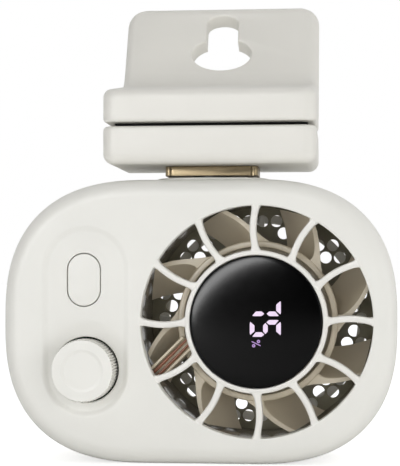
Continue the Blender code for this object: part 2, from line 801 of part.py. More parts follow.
def front_cover():
    cover = housing_shell("front_cover", FRONT_Y, PARTING_Y, FRONT_EDGE_ROUND)
    for number, (x, z) in enumerate(screw_places(), 1):
        post = rod("front_post_%d" % number, SCREW_BORE + BOSS_WALL, FRONT_INNER_Y - SINK,
                   PARTING_Y - SEAT_GAP,
                   at=(x, 0.0, z), steps=12, tool=True)
        join(cover, post)
    fan_hole = rod("fan_hole", OPENING_RADIUS, FRONT_Y - SINK, FRONT_INNER_Y + SINK,
                   at=(FAN_X, 0.0, FAN_Z), steps=48, tool=True)
    track = prism("track_recess", pill(TRACK_WIDTH, TRACK_HEIGHT), FRONT_Y - SINK, TRACK_FLOOR_Y,
                  at=(TRACK_X, 0.0, BODY_CENTRE_Z), tool=True)
    bowl_radius = TRACK_WIDTH / 2 - SEAT_GAP
    bowl = turned("knob_bowl", [(0.0, TRACK_FLOOR_Y + BOWL_DEPTH),
                                (KNOB_HOLE_RADIUS, TRACK_FLOOR_Y + BOWL_DEPTH),
                                (bowl_radius, TRACK_FLOOR_Y - SINK / 5), (bowl_radius, FRONT_Y - SINK),
                                (0.0, FRONT_Y - SINK)],
                  at=(TRACK_X, 0.0, KNOB_Z), steps=36, tool=True)
    knob_hole = rod("knob_hole", KNOB_HOLE_RADIUS, FRONT_Y - SINK, FRONT_INNER_Y + SINK,
                    at=(TRACK_X, 0.0, KNOB_Z), steps=36, tool=True)
    button_hole = prism("button_hole", pill(BUTTON_WIDTH, BUTTON_HEIGHT, BUTTON_GAP), FRONT_Y - SINK,
                        FRONT_INNER_Y + SINK, at=(BUTTON_X, 0.0, BUTTON_Z), tool=True)
    port_y = BOARD_BACK_Y + SEAT_GAP + PORT_THICKNESS / 2
    port_hole = prism("port_hole", pill(PORT_THICKNESS, PORT_WIDTH, SEAT_GAP, 5), LEFT_X - SINK,
                      LEFT_X + WALL + SINK, axis="X", at=(0.0, port_y, PORT_Z), tool=True)
    collar_hole = rod("collar_hole", COLLAR_RADIUS + SEAT_GAP, TOP_INNER_Z - SINK, BODY_HEIGHT + SINK,
                      axis="Z", at=(SWIVEL_X, 0.0, 0.0), steps=24, tool=True)
    cut(cover, fan_hole, track, bowl, knob_hole, button_hole, port_hole, collar_hole)
    for number, (x, z) in enumerate(screw_places(), 1):
        pilot = rod("pilot_%d" % number, SCREW_BORE, BACK_Y - SCREW_LENGTH - 2 * SINK, PARTING_Y + SINK,
                    at=(x, 0.0, z), steps=10, tool=True)
        cut(cover, pilot)


def rear_cover():
    cover = housing_shell("rear_cover", BACK_Y, PARTING_Y + SEAT_GAP, BACK_EDGE_ROUND)
    for number, (x, z) in enumerate(screw_places(), 1):
        post = rod("rear_post_%d" % number, SCREW_HEAD_BORE + REAR_BOSS_WALL, PARTING_Y + 2 * SEAT_GAP,
                   BACK_INNER_Y + SINK, at=(x, 0.0, z), steps=16, tool=True)
        join(cover, post)
    opening = rod("rear_hole", OPENING_RADIUS, BACK_INNER_Y - SINK, BACK_Y + SINK,
                  at=(FAN_X, 0.0, FAN_Z), steps=48, tool=True)
    cut(cover, opening)
    seat_y = BACK_Y - SEAT_GAP - SCREW_HEAD_HEIGHT - SEAT_GAP
    for number, (x, z) in enumerate(screw_places(), 1):
        counterbore = turned("screw_way_%d" % number,
                             [(0.0, BACK_Y + SINK), (SCREW_HEAD_BORE, BACK_Y + SINK),
                              (SCREW_HEAD_BORE, seat_y), (SCREW_BORE, seat_y),
                              (SCREW_BORE, PARTING_Y - SINK), (0.0, PARTING_Y - SINK)],
                             at=(x, 0.0, z), steps=12, tool=True)
        cut(cover, counterbore)


def case_screws():
    head_y = BACK_Y - SEAT_GAP
    neck_y = head_y - SCREW_HEAD_HEIGHT
    tip_y = head_y - SCREW_LENGTH
    for number, (x, z) in enumerate(screw_places(), 1):
        turned("case_screw_%d" % number,
               [(0.0, head_y), (SCREW_HEAD_RADIUS * 0.8, head_y),
                (SCREW_HEAD_RADIUS, head_y - SCREW_HEAD_HEIGHT * 0.4), (SCREW_HEAD_RADIUS, neck_y),
                (SCREW_SHANK_RADIUS, neck_y), (SCREW_SHANK_RADIUS, tip_y + SCREW_SHANK_RADIUS),
                (0.0, tip_y)],
               at=(x, 0.0, z), steps=12, material=plain_steel())


def rib_side(start_radius, end_radius, angle, side, width, bulge, count=4):
    """One long side of a bowed rib, from its hub end to its rim end.

    The centre line is the radial line at the angle, pushed sideways by a sine bow, and the side
    lies half a width from it.
    """
    along = Vector((math.cos(angle), math.sin(angle)))
    across = Vector((-along.y, along.x))
    points = []
    for step in range(count):
        share = step / (count - 1)
        radius = start_radius + (end_radius - start_radius) * share
        bow = bulge * math.sin(math.pi * share)
        point = along * radius + across * (bow + side * width / 2)
        points.append((point.x, point.y))
    return points


def guard_star(hub_radius, tip_radius, width, bulge, count, phase):
    """Outline of a hub disc with bowed ribs that end free at the tip radius."""
    points = []
    half = width / 2 / hub_radius
    for number in range(count):
        angle = phase + 2 * math.pi * number / count
        following = angle + 2 * math.pi / count
        points += rib_side(hub_radius, tip_radius, angle, -1, width, bulge)
        points += list(reversed(rib_side(hub_radius, tip_radius, angle, 1, width, bulge)))
        points += arc((0.0, 0.0), hub_radius, angle + half, following - half, 4)[1:-1]
    return points


def guard_feet(inner_radius, foot_radius, width, count, phase):
    """Inner outline of the guard's rim: a circle with a short foot under each rib."""
    points = []
    half = width / 2 / inner_radius
    for number in range(count):
        angle = phase + 2 * math.pi * number / count
        following = angle + 2 * math.pi / count
        points += list(reversed(rib_side(foot_radius, inner_radius, angle, -1, width, 0.0, 2)))
        points += rib_side(foot_radius, inner_radius, angle, 1, width, 0.0, 2)
        points += arc((0.0, 0.0), inner_radius, angle + half, following - half, 5)[1:-1]
    return points


def fan_guard(name, hub, star_hub, star_low, star_high, rim_low, rim_high, phase, material, rings=()):
    """Guard moulding: a turned hub, a star of bowed ribs and a rim that sits behind the cover.

    Round bars that join the ribs are given as (middle radius, low end, high end).
    """
    place = (FAN_X, 0.0, FAN_Z)
    rib_outline = guard_star(star_hub[0], RIB_TIP_RADIUS, RIB_WIDTH, RIB_BULGE, RIB_COUNT, phase)
    star_outlines = [rib_outline]
    if star_hub[1] > 0.0:
        star_outlines.append(circle(star_hub[1], 36))
    star = as_mesh(flat_plate(name + "_star", star_outlines, star_low, star_high, at=place, tool=True))
    foot_inset = (rim_high - rim_low) * 0.15
    feet = guard_feet(OPENING_RADIUS, RIB_TIP_RADIUS - RIB_FOOT_LENGTH, RIB_WIDTH * 0.8, RIB_COUNT, phase)
    rim = as_mesh(flat_plate(name + "_rim", [circle(RIM_RADIUS, 48), feet], rim_low + foot_inset,
                             rim_high - foot_inset, at=place, tool=True))
    guard = turned(name, hub, at=place, steps=36, material=material)
    bars = []
    for number, (radius, low, high) in enumerate(rings, 1):
        bars.append(ring("%s_bar_%d" % (name, number), radius + REAR_RING_WIDTH / 2,
                         radius - REAR_RING_WIDTH / 2,
                         low, high, at=place, steps=24, tool=True))
    join(guard, star, rim, *bars)
    return guard


def front_grille():
    hub = [(HUB_RING_RADIUS, HUB_RING_BACK_Y), (HUB_RING_RADIUS, FRONT_Y), (HUB_RING_BORE, FRONT_Y),
           (HUB_RING_BORE, HUB_RING_BACK_Y)]
    inside = HUB_RING_WALL * 0.2
    grille = fan_guard("front_grille", hub, (HUB_RING_RADIUS - inside, HUB_RING_BORE + inside),
                       RIB_FRONT_Y, RIB_BACK_Y, FRONT_RIM_Y, FRONT_RIM_Y + RIM_THICKNESS,
                       math.radians(90), white_plastic())
    cut(grille, lead_way("grille_lead_way"))


def rear_grille():
    face_y = BACK_Y - RIB_FRONT_DROP
    back = face_y - REAR_RIB_DEPTH
    boss_y = MOTOR_BASE_BACK_Y + SEAT_GAP
    hub = [(0.0, face_y), (REAR_HUB_RADIUS, face_y), (REAR_HUB_RADIUS, back + SINK),
           (REAR_BOSS_RADIUS, back + SINK), (REAR_BOSS_RADIUS, boss_y), (0.0, boss_y)]
    bar_high = face_y - SINK
    bar_step = (OPENING_RADIUS - REAR_HUB_RADIUS) / (REAR_RING_COUNT + REAR_RING_REST)
    bars = []
    for number in range(REAR_RING_COUNT):
        bars.append((REAR_HUB_RADIUS + bar_step * (number + 1), bar_high - REAR_RING_DEPTH, bar_high))
    fan_guard("rear_grille", hub, (REAR_HUB_RADIUS - SINK, 0.0), back + SINK * 1.2, face_y - SINK / 2,
              REAR_RIM_Y - RIM_THICKNESS, REAR_RIM_Y, math.radians(90), white_plastic(), bars)


def rear_mesh():
    """Plate with a band of round holes near its rim, in a hexagonal pattern."""
    outer_limit = RIM_RADIUS - MESH_HOLE_RADIUS - MESH_MARGIN
    inner_limit = DUCT_RADIUS - MESH_BAND
    outlines = [circle(RIM_RADIUS, 48), circle(REAR_BOSS_RADIUS + SEAT_GAP, 20)]
    rows = int(outer_limit / (MESH_PITCH * math.sqrt(0.75))) + 1
    columns = int(outer_limit / MESH_PITCH) + 1
    for row in range(-rows, rows + 1):
        for column in range(-columns, columns + 1):
            x = (column + (row % 2) / 2) * MESH_PITCH
            z = row * MESH_PITCH * math.sqrt(0.75)
            if inner_limit <= math.hypot(x, z) <= outer_limit:
                outlines.append([(x + u, z + v) for u, v in circle(MESH_HOLE_RADIUS, 6)])
    flat_plate("rear_mesh", outlines, MESH_BACK_Y - MESH_THICKNESS, MESH_BACK_Y,
               at=(FAN_X, 0.0, FAN_Z), material=dark_mesh_paint())


def channel_ends():
    """Hub end and rim end of the lead channel's centre line, from the fan's axis."""
    inner = Vector((math.cos(CHANNEL_INNER_ANGLE), math.sin(CHANNEL_INNER_ANGLE))) * HUB_RING_RADIUS
    outer = Vector((math.cos(CHANNEL_OUTER_ANGLE), math.sin(CHANNEL_OUTER_ANGLE))) * DUCT_RADIUS
    return inner, outer


def channel_frame():
    inner, outer = channel_ends()
    along = (outer - inner).normalized()
    return inner, outer, along, math.atan2(along.y, along.x)


def channel_box(name, start, end, width, low, high, tool=True, material=None):
    """Box along the channel's line, from one distance past its hub end to another."""
    inner, outer, along, slant = channel_frame()
    middle = inner + along * (start + end) / 2
    return box(name, (end - start, high - low, width),
               (FAN_X + middle.x, (low + high) / 2, FAN_Z + middle.y), (0.0, -slant, 0.0),
               tool=tool, material=material)


def lead_way(name):
    """Slot that lets the display leads through the hub ring and the display cup."""
    start = -(HUB_RING_WALL + SEAT_GAP + CUP_WALL + LEAD_INSIDE)
    width = 2 * (LEAD_SPREAD + LEAD_RADIUS + SEAT_GAP)
    return channel_box(name, start, CUP_WALL, width, CHANNEL_FRONT_Y + CHANNEL_WALL / 2,
                       CHANNEL_BACK_Y - FINE_GAP)


def fan_duct():
    duct = ring("fan_duct", DUCT_OUTER_RADIUS, DUCT_RADIUS, DUCT_FRONT_Y, DUCT_BACK_Y,
                at=(FAN_X, 0.0, FAN_Z), steps=56, material=dark_gloss())
    inner, outer, along, slant = channel_frame()
    length = (outer - inner).length
    front_notch = channel_box("duct_front_notch", length - 2 * DUCT_WALL, length + 4 * DUCT_WALL,
                              CHANNEL_WIDTH + 2 * SEAT_GAP, DUCT_FRONT_Y - SINK, CHANNEL_BACK_Y + DUCT_WALL)
    start, end = motor_lead_exit()
    middle = (start + end) / 2
    heading = (end - start).normalized()
    rear_notch = box("duct_rear_notch", (5 * DUCT_WALL, 5 * LEAD_RADIUS, 2 * (LEAD_SPREAD + 2 * LEAD_RADIUS)),
                     (FAN_X + end.x, DUCT_BACK_Y - LEAD_RADIUS, FAN_Z + end.y),
                     (0.0, -math.atan2(heading.y, heading.x), 0.0), tool=True)
    cut(duct, front_notch, rear_notch)


def lead_channel():
    """Open channel from the hub ring to the duct: a block less its trough."""
    inner, outer, along, slant = channel_frame()
    length = (outer - inner).length
    start = SEAT_GAP * 1.6
    end = length - SEAT_GAP
    body = channel_box("lead_channel", start, end, CHANNEL_WIDTH, CHANNEL_FRONT_Y, CHANNEL_BACK_Y,
                       tool=False, material=beige_plastic())
    trough = channel_box("channel_trough", start - CHANNEL_DEPTH, end + CHANNEL_DEPTH,
                         CHANNEL_WIDTH - 2 * CHANNEL_WALL, CHANNEL_FRONT_Y - SINK,
                         CHANNEL_BACK_Y - CHANNEL_WALL)
    hub_clear = rod("channel_hub_clear", HUB_RING_RADIUS + SEAT_GAP,
                    CHANNEL_FRONT_Y - SINK, CHANNEL_BACK_Y + SINK,
                    at=(FAN_X, 0.0, FAN_Z), steps=56, tool=True)
    cut(body, trough, hub_clear)


def smooth_route(route, per_span=4):
    """Points along a Catmull-Rom curve through the route's own points."""
    knots = [Vector(point) for point in route]
    knots = [2 * knots[0] - knots[1]] + knots + [2 * knots[-1] - knots[-2]]
    points = []
    for i in range(1, len(knots) - 2):
        before, here, there, after = knots[i - 1:i + 3]
        for step in range(per_span):
            t = step / per_span
            points.append(0.5 * (2 * here + (there - before) * t
                                 + (2 * before - 5 * here + 4 * there - after) * t * t
                                 + (3 * here - before - 3 * there + after) * t ** 3))
    points.append(knots[-2])
    return points


def display_leads():
    """Two leads side by side: display board, lead channel, notch in the duct, main board."""
    inner, outer, along, slant = channel_frame()
    across = Vector((-along.y, along.x))
    trough_y = CHANNEL_BACK_Y - CHANNEL_WALL - SEAT_GAP - LEAD_RADIUS
    board_y = (BOARD_FRONT_Y + BOARD_BACK_Y) / 2
    past = (outer - inner).length + DUCT_WALL
    for number, side in ((1, -1), (2, 1)):
        shift = across * side * LEAD_SPREAD
        stations = [inner - along * LEAD_INSIDE, inner, inner + along * past * 0.5, outer,
                    outer + along * LEAD_BEND]
        route = [(FAN_X + (s + shift).x, trough_y, FAN_Z + (s + shift).y) for s in stations]
        last = route[-1]
        end_z = last[2] - LEAD_BEND / 2 - side * LEAD_SPREAD * 0.3
        route.append((BOARD_RIGHT_X + LEAD_BEND * 1.2, (trough_y + board_y) / 2, end_z))
        route.append((BOARD_RIGHT_X + SEAT_GAP, board_y, end_z))
        wire("display_lead_%d" % number, smooth_route(route, 2), LEAD_RADIUS, lead_brown())


def display_parts():
    place = (FAN_X, 0.0, FAN_Z)
    dome = [(LENS_RADIUS * math.sin(a), LENS_FRONT_Y - LENS_DOME * math.cos(a))
            for a in [math.pi / 2 * i / 5 for i in range(6)]]
    back = LENS_FRONT_Y + LENS_RIM_DEPTH
    lens = [(0.0, back), (LENS_RADIUS, back)] + list(reversed(dome))
    turned("display_lens", lens, at=place, steps=32, material=lens_black())
    floor = CUP_BACK_Y - CUP_WALL
    cup = turned("display_cup", [(0.0, CUP_BACK_Y), (LENS_RADIUS, CUP_BACK_Y), (LENS_RADIUS, CUP_FRONT_Y),
                                 (LENS_RADIUS - CUP_WALL, CUP_FRONT_Y), (LENS_RADIUS - CUP_WALL, floor),
                                 (0.0, floor)],
                 at=place, steps=32, material=black_plastic())
    cut(cup, lead_way("cup_lead_way"))
    board_radius = LENS_RADIUS - CUP_WALL - SEAT_GAP
    rod("display_board", board_radius, DISPLAY_BOARD_Y, DISPLAY_BOARD_Y + DISPLAY_BOARD_THICKNESS,
        at=place, steps=32, material=board_green())
    prism("display_module", rounded_rectangle(MODULE_WIDTH, MODULE_HEIGHT, MODULE_CORNER, 3), MODULE_FRONT_Y,
          MODULE_FRONT_Y + MODULE_DEPTH, at=place, material=display_white())


def blade_surface(work, number):
    """One blade as an open grid: angle grows with the radius (sweep) and with the depth (wrap)."""
    root = HUB_RADIUS - HUB_WALL * 0.55
    rows, columns = 4, 3
    start = BLADE_START + 2 * math.pi * number / BLADE_COUNT
    grid = []
    for row in range(rows + 1):
        share = row / rows
        radius = root + (BLADE_TIP_RADIUS - root) * share
        line = []
        for column in range(columns + 1):
            depth = column / columns
            wrap = BLADE_ROOT_WRAP + (BLADE_TIP_WRAP - BLADE_ROOT_WRAP) * share
            angle = start + BLADE_SWEEP * share + wrap * depth
            y = BLADE_FRONT_Y + (BLADE_BACK_Y - BLADE_FRONT_Y) * depth
            y += BLADE_CAMBER * math.sin(math.pi * depth)
            line.append(work.verts.new((radius * math.cos(angle), y, radius * math.sin(angle))))
        grid.append(line)
    for row in range(rows):
        for column in range(columns):
            work.faces.new((grid[row][column], grid[row][column + 1],
                            grid[row + 1][column + 1], grid[row + 1][column]))


def impeller():
    place = (FAN_X, 0.0, FAN_Z)
    shaft_bore = SHAFT_RADIUS + BORE_GAP
    socket = CAN_RADIUS + SEAT_GAP
    profile = [(HUB_RADIUS, HUB_BACK_Y), (HUB_RADIUS, HUB_FRONT_Y), (HUB_BORE, HUB_FRONT_Y),
               (HUB_BORE, HUB_WEB_Y), (IMPELLER_BOSS_RADIUS, HUB_WEB_Y),
               (IMPELLER_BOSS_RADIUS, HUB_WEB_Y - IMPELLER_BOSS_HEIGHT),
               (shaft_bore, HUB_WEB_Y - IMPELLER_BOSS_HEIGHT), (shaft_bore, WEB_BACK_Y),
               (socket, WEB_BACK_Y), (socket, CAN_BACK_Y - SOCKET_SHORT),
               (socket + SOCKET_WALL, CAN_BACK_Y - SOCKET_SHORT), (socket + SOCKET_WALL, WEB_BACK_Y + SINK),
               (HUB_BORE, WEB_BACK_Y + SINK), (HUB_BORE, HUB_BACK_Y)]
    wheel = turned("impeller", profile, at=place, steps=36, material=beige_plastic())

    def all_blades(work):
        for number in range(BLADE_COUNT):
            blade_surface(work, number)

    blades = add_object("impeller_blades", mesh_from(all_blades, "impeller_blades"), tool=True)
    blades.location = place
    wall = blades.modifiers.new("blade_wall", "SOLIDIFY")
    wall.thickness = BLADE_THICKNESS
    wall.offset = 0.0
    wall.use_even_offset = True
    join(wheel, blades)
    return wheel


def stator_outline():
    """Lamination with broad tooth tips: stem, flare and tip arc for each tooth."""
    points = []
    stem = math.radians(7)
    tip = math.radians(15.5)
    core = TUBE_RADIUS + STATOR_CORE_WALL
    shoulder = STATOR_RADIUS - STATOR_TIP
    flare = STATOR_RADIUS - STATOR_TIP / 2
    for number in range(STATOR_TEETH):
        angle = 2 * math.pi * number / STATOR_TEETH
        for radius, offset in ((core, -stem * 2), (shoulder, -stem), (flare, -tip),
                               (STATOR_RADIUS, -tip * 0.9), (STATOR_RADIUS, 0.0), (STATOR_RADIUS, tip * 0.9),
                               (flare, tip), (shoulder, stem), (core, stem * 2)):
            points.append((radius * math.cos(angle + offset), radius * math.sin(angle + offset)))
    return points


def motor():
    """Outer-rotor motor: a base with its bearing tube, the stator on it, and the can round it."""
    place = (FAN_X, 0.0, FAN_Z)
    base = turned("motor_base", [(MOTOR_BASE_RADIUS, MOTOR_BASE_BACK_Y), (MOTOR_BASE_RADIUS, MOTOR_BASE_Y),
                                 (TUBE_RADIUS, MOTOR_BASE_Y), (TUBE_RADIUS, TUBE_FRONT_Y),
                                 (TUBE_BORE, TUBE_FRONT_Y), (TUBE_BORE, MOTOR_BASE_BACK_Y)],
                  at=place, steps=24, material=black_plastic())
    slot_size = 2 * (LEAD_SPREAD + 2 * LEAD_RADIUS + SEAT_GAP)
    lead_slot = box("base_lead_slot", (slot_size, 4 * MOTOR_BASE_THICKNESS, slot_size),
                    (FAN_X - MOTOR_BASE_RADIUS + MOTOR_LEAD_INSET, MOTOR_BASE_Y, FAN_Z - MOTOR_LEAD_DROP),
                    tool=True)
    cut(base, lead_slot)
    flat_plate("motor_stator", [stator_outline(), circle(TUBE_RADIUS + SEAT_GAP, 24)],
               MOTOR_BOARD_Y - SEAT_GAP - STATOR_DEPTH, MOTOR_BOARD_Y - SEAT_GAP, at=place,
               material=plain_steel())
    ring("motor_board", MAGNET_RADIUS - MAGNET_WALL - STATOR_GAP, TUBE_RADIUS + SEAT_GAP, MOTOR_BOARD_Y,
         MOTOR_BOARD_Y + MOTOR_BOARD_THICKNESS, at=place, steps=24, material=board_green())
    for name, low in (("front_bearing", TUBE_FRONT_Y + FINE_GAP),
                      ("rear_bearing", MOTOR_BASE_BACK_Y - BEARING_LENGTH - FINE_GAP)):
        ring(name, BEARING_RADIUS, SHAFT_RADIUS + BORE_GAP, low, low + BEARING_LENGTH, at=place,
             steps=16, material=bearing_brass())
    inner = CAN_RADIUS - CAN_WALL
    turned("rotor_can", [(CAN_RADIUS, CAN_BACK_Y), (CAN_RADIUS, CAN_FRONT_Y),
                         (SHAFT_RADIUS + BORE_GAP, CAN_FRONT_Y),
                         (SHAFT_RADIUS + BORE_GAP, CAN_FRONT_Y + CAN_WALL),
                         (inner, CAN_FRONT_Y + CAN_WALL), (inner, CAN_BACK_Y)],
           at=place, steps=28, material=plain_steel())
    ring("magnet_ring", MAGNET_RADIUS, MAGNET_RADIUS - MAGNET_WALL, CAN_FRONT_Y + CAN_WALL + SEAT_GAP,
         CAN_BACK_Y - MAGNET_SETBACK, at=place, steps=28, material=magnet_grey())
    rod("motor_shaft", SHAFT_RADIUS, HUB_WEB_Y - IMPELLER_BOSS_HEIGHT + 2 * FINE_GAP,
        MOTOR_BASE_BACK_Y - 2 * FINE_GAP,
        at=place, steps=12, material=plain_steel())


def motor_lead_exit():
    """Where the motor leads leave the base and where they pass the duct, seen behind the channel."""
    start = Vector((-MOTOR_BASE_RADIUS + MOTOR_LEAD_INSET, -MOTOR_LEAD_DROP))
    angle = CHANNEL_OUTER_ANGLE + math.radians(2)
    end = Vector((math.cos(angle), math.sin(angle))) * (DUCT_RADIUS + DUCT_WALL / 2)
    return start, end


def motor_leads():
    start, end = motor_lead_exit()
    heading = (end - start).normalized()
    across = Vector((-heading.y, heading.x))
    lie_y = DUCT_BACK_Y - LEAD_RADIUS
    first_y = MOTOR_BOARD_Y + MOTOR_BOARD_THICKNESS + SEAT_GAP + LEAD_RADIUS
    for number, (side, material) in enumerate(((-1, lead_red()), (1, lead_black())), 1):
        shift = across * side * LEAD_SPREAD
        p = start + shift
        route = [(FAN_X + p.x, first_y - LEAD_RADIUS, FAN_Z + p.y),
                 (FAN_X + p.x - LEAD_BEND / 4, first_y + LEAD_BEND / 2, FAN_Z + p.y - LEAD_BEND / 12)]
        for share in (0.35, 0.7, 1.0):
            q = start + (end - start) * share + shift
            route.append((FAN_X + q.x, lie_y, FAN_Z + q.y))
        q = end + heading * LEAD_BEND * 0.9 + shift
        turn_x = FAN_X + q.x - LEAD_BEND / 4
        turn_z = FAN_Z + q.y - LEAD_BEND / 6
        route.append((FAN_X + q.x, lie_y - LEAD_BEND * 0.8, FAN_Z + q.y))
        route.append((turn_x, (lie_y + BOARD_BACK_Y) / 2, turn_z))
        route.append((BOARD_RIGHT_X + LEAD_BEND, BOARD_BACK_Y + LEAD_BEND * 1.7, turn_z + LEAD_BEND / 4))
        route.append((BOARD_RIGHT_X - LEAD_BEND * 0.6, BOARD_BACK_Y + LEAD_BEND * 0.8,
                      turn_z + LEAD_BEND / 3))
        route.append((BOARD_RIGHT_X - LEAD_BEND, BOARD_BACK_Y + SEAT_GAP, turn_z + LEAD_BEND / 3))
        wire("motor_lead_%d" % number, smooth_route(route, 2), LEAD_RADIUS, material)


def main_board():
    middle_x = (BOARD_LEFT_X + BOARD_RIGHT_X) / 2
    prism("main_board", rounded_rectangle(BOARD_RIGHT_X - BOARD_LEFT_X, BOARD_HEIGHT, BOARD_CORNER, 6),
          BOARD_FRONT_Y, BOARD_BACK_Y, at=(middle_x, 0.0, BODY_CENTRE_Z), material=board_green())


def power_button():
    """Pill cap that shows in the cover, with a lip behind the wall and a stem for the switch."""
    lip_front = FRONT_INNER_Y + SEAT_GAP
    lip_back = lip_front + BUTTON_LIP_THICKNESS
    plunger_front = SWITCH_BACK_Y - SWITCH_HEIGHT - SWITCH_PLUNGER_LENGTH
    button = prism("power_button", pill(BUTTON_WIDTH, BUTTON_HEIGHT),
                   TRACK_FLOOR_Y - BUTTON_PROUD, lip_front + SINK,
                   low_round=BUTTON_ROUND, steps=2, at=(BUTTON_X, 0.0, BUTTON_Z), material=white_plastic())
    lip = prism("button_lip", pill(BUTTON_WIDTH, BUTTON_HEIGHT, BUTTON_LIP), lip_front, lip_back,
                at=(BUTTON_X, 0.0, BUTTON_Z), tool=True)
    stem = rod("button_stem", SWITCH_PLUNGER_RADIUS, lip_back - SINK,
               plunger_front - BUTTON_TRAVEL - THIN_GAP,
               at=(BUTTON_X, 0.0, BUTTON_Z), steps=16, tool=True)
    join(button, lip, stem)


def power_switch():
    body = box("power_switch", (SWITCH_SIZE, SWITCH_HEIGHT, SWITCH_SIZE),
               (BUTTON_X, SWITCH_BACK_Y - SWITCH_HEIGHT / 2, BUTTON_Z), material=black_plastic())
    plunger = rod("switch_plunger", SWITCH_PLUNGER_RADIUS,
                  SWITCH_BACK_Y - SWITCH_HEIGHT - SWITCH_PLUNGER_LENGTH, SWITCH_BACK_Y - SWITCH_HEIGHT + SINK,
                  at=(BUTTON_X, 0.0, BUTTON_Z), steps=16, tool=True)
    join(body, plunger)


def knurl_outline():
    """Fine saw-tooth circle: outer and inner radius in turn."""
    points = []
    for number in range(2 * KNURL_COUNT):
        radius = KNOB_RADIUS - (KNURL_DEPTH if number % 2 else 0.0)
        angle = math.pi * number / KNURL_COUNT
        points.append((radius * math.cos(angle), radius * math.sin(angle)))
    return points


def speed_knob():
    place = (TRACK_X, 0.0, KNOB_Z)
    back_y = ENCODER_FRONT_Y - SEAT_GAP - KNOB_BACK_ROOM
    core = KNOB_RADIUS - KNURL_DEPTH - FINE_GAP
    bore = ENCODER_SHAFT_RADIUS + SEAT_GAP
    bore_floor = shaft_tip_y() - SEAT_GAP
    profile = [(core, back_y), (core, KNOB_FRONT_Y + KNOB_EDGE),
               (core - KNOB_EDGE * 0.3, KNOB_FRONT_Y + KNOB_EDGE * 0.3), (core - KNOB_EDGE, KNOB_FRONT_Y),
               (KNOB_DISH_RADIUS, KNOB_FRONT_Y),
               (KNOB_DISH_RADIUS - KNOB_DISH_SLOPE, KNOB_FRONT_Y + KNOB_DISH_DEPTH),
               (0.0, KNOB_FRONT_Y + KNOB_DISH_DEPTH)]
    outer = [(0.0, bore_floor), (bore, bore_floor), (bore, back_y)] + profile
    knob = turned("speed_knob", outer, at=place, steps=36, material=white_plastic())
    band_front = KNOB_FRONT_Y + KNOB_EDGE * 1.4
    band = prism("knurled_band", knurl_outline(), band_front, FRONT_INNER_Y - SINK, at=place, tool=True)
    core_clear = rod("band_bore", KNOB_RADIUS - KNURL_DEPTH * 3, band_front - SINK, FRONT_INNER_Y + SINK,
                     at=place, steps=36, tool=True)
    cut(band, core_clear)
    join(knob, band)
    return knob


def shaft_tip_y():
    """Front end of the encoder's shaft, inside the knob."""
    return ENCODER_FRONT_Y - ENCODER_SHAFT_REACH


def knob_encoder():
    place = (TRACK_X, 0.0, KNOB_Z)
    body = box("knob_encoder", (ENCODER_SIZE, ENCODER_DEPTH, ENCODER_SIZE),
               (TRACK_X, SWITCH_BACK_Y - ENCODER_DEPTH / 2, KNOB_Z), material=black_plastic())
    floor = SWITCH_BACK_Y - ENCODER_DEPTH * 0.35
    bore = rod("encoder_bore", ENCODER_SHAFT_RADIUS + SEAT_GAP, ENCODER_FRONT_Y - SINK, floor, at=place,
               steps=20, tool=True)
    cut(body, bore)
    rod("encoder_shaft", ENCODER_SHAFT_RADIUS, shaft_tip_y(), floor - SEAT_GAP, at=place, steps=20,
        material=plain_steel())


def charge_port():
    """Charging inlet: an oval metal shell with a closed back and a plastic tongue in it."""
    y = BOARD_BACK_Y + SEAT_GAP + PORT_THICKNESS / 2
    front_x = LEFT_X + PORT_SETBACK
    back_x = front_x + PORT_LENGTH
    shell = prism("charge_port", pill(PORT_THICKNESS, PORT_WIDTH, 0.0, 6), front_x, back_x, axis="X",
                  at=(0.0, y, PORT_Z), material=plain_steel())
    hollow = prism("port_hollow", pill(PORT_THICKNESS, PORT_WIDTH, -PORT_SHELL, 6), front_x - SINK,
                   back_x - PORT_SHELL, axis="X", at=(0.0, y, PORT_Z), tool=True)
    cut(shell, hollow)
    tongue_front = front_x + TONGUE_SETBACK
    tongue_back = back_x - PORT_SHELL - SEAT_GAP
    box("port_tongue", (tongue_back - tongue_front, TONGUE_THICKNESS, TONGUE_WIDTH),
        ((tongue_front + tongue_back) / 2, y, PORT_Z), material=black_plastic())


def battery():
    """Flat pouch cell against the rear wall, and its two leads to the main board."""
    back_y = BACK_INNER_Y - SEAT_GAP
    width = BOARD_RIGHT_X - CELL_LEFT_X
    middle_x = (BOARD_RIGHT_X + CELL_LEFT_X) / 2
    prism("battery_cell", rounded_rectangle(width, CELL_HEIGHT, CELL_CORNER, 4), back_y - CELL_DEPTH, back_y,
          low_round=CELL_ROUND, high_round=CELL_ROUND, steps=2, at=(middle_x, 0.0, BODY_CENTRE_Z),
          material=cell_foil())
    top_z = BODY_CENTRE_Z + CELL_HEIGHT / 2
    cell_y = back_y - CELL_DEPTH / 2
    board_top = BODY_CENTRE_Z + BOARD_HEIGHT / 2
    first_x = middle_x + CELL_LEAD_X
    for name, x, material in (("battery_lead_1", first_x, lead_red()),
                              ("battery_lead_2", first_x + CELL_LEAD_PITCH, lead_black())):
        route = [(x, cell_y, top_z + SEAT_GAP), (x, cell_y - LEAD_BEND / 4, top_z + LEAD_BEND * 0.7),
                 (x, cell_y - LEAD_BEND * 2.5, top_z + LEAD_BEND),
                 (x, cell_y - LEAD_BEND * 4, board_top - LEAD_BEND / 2),
                 (x, BOARD_BACK_Y + LEAD_BEND * 1.2, board_top - LEAD_BEND),
                 (x, BOARD_BACK_Y + SEAT_GAP, board_top - LEAD_BEND * 1.6)]
        wire(name, smooth_route(route, 2), LEAD_RADIUS, material)


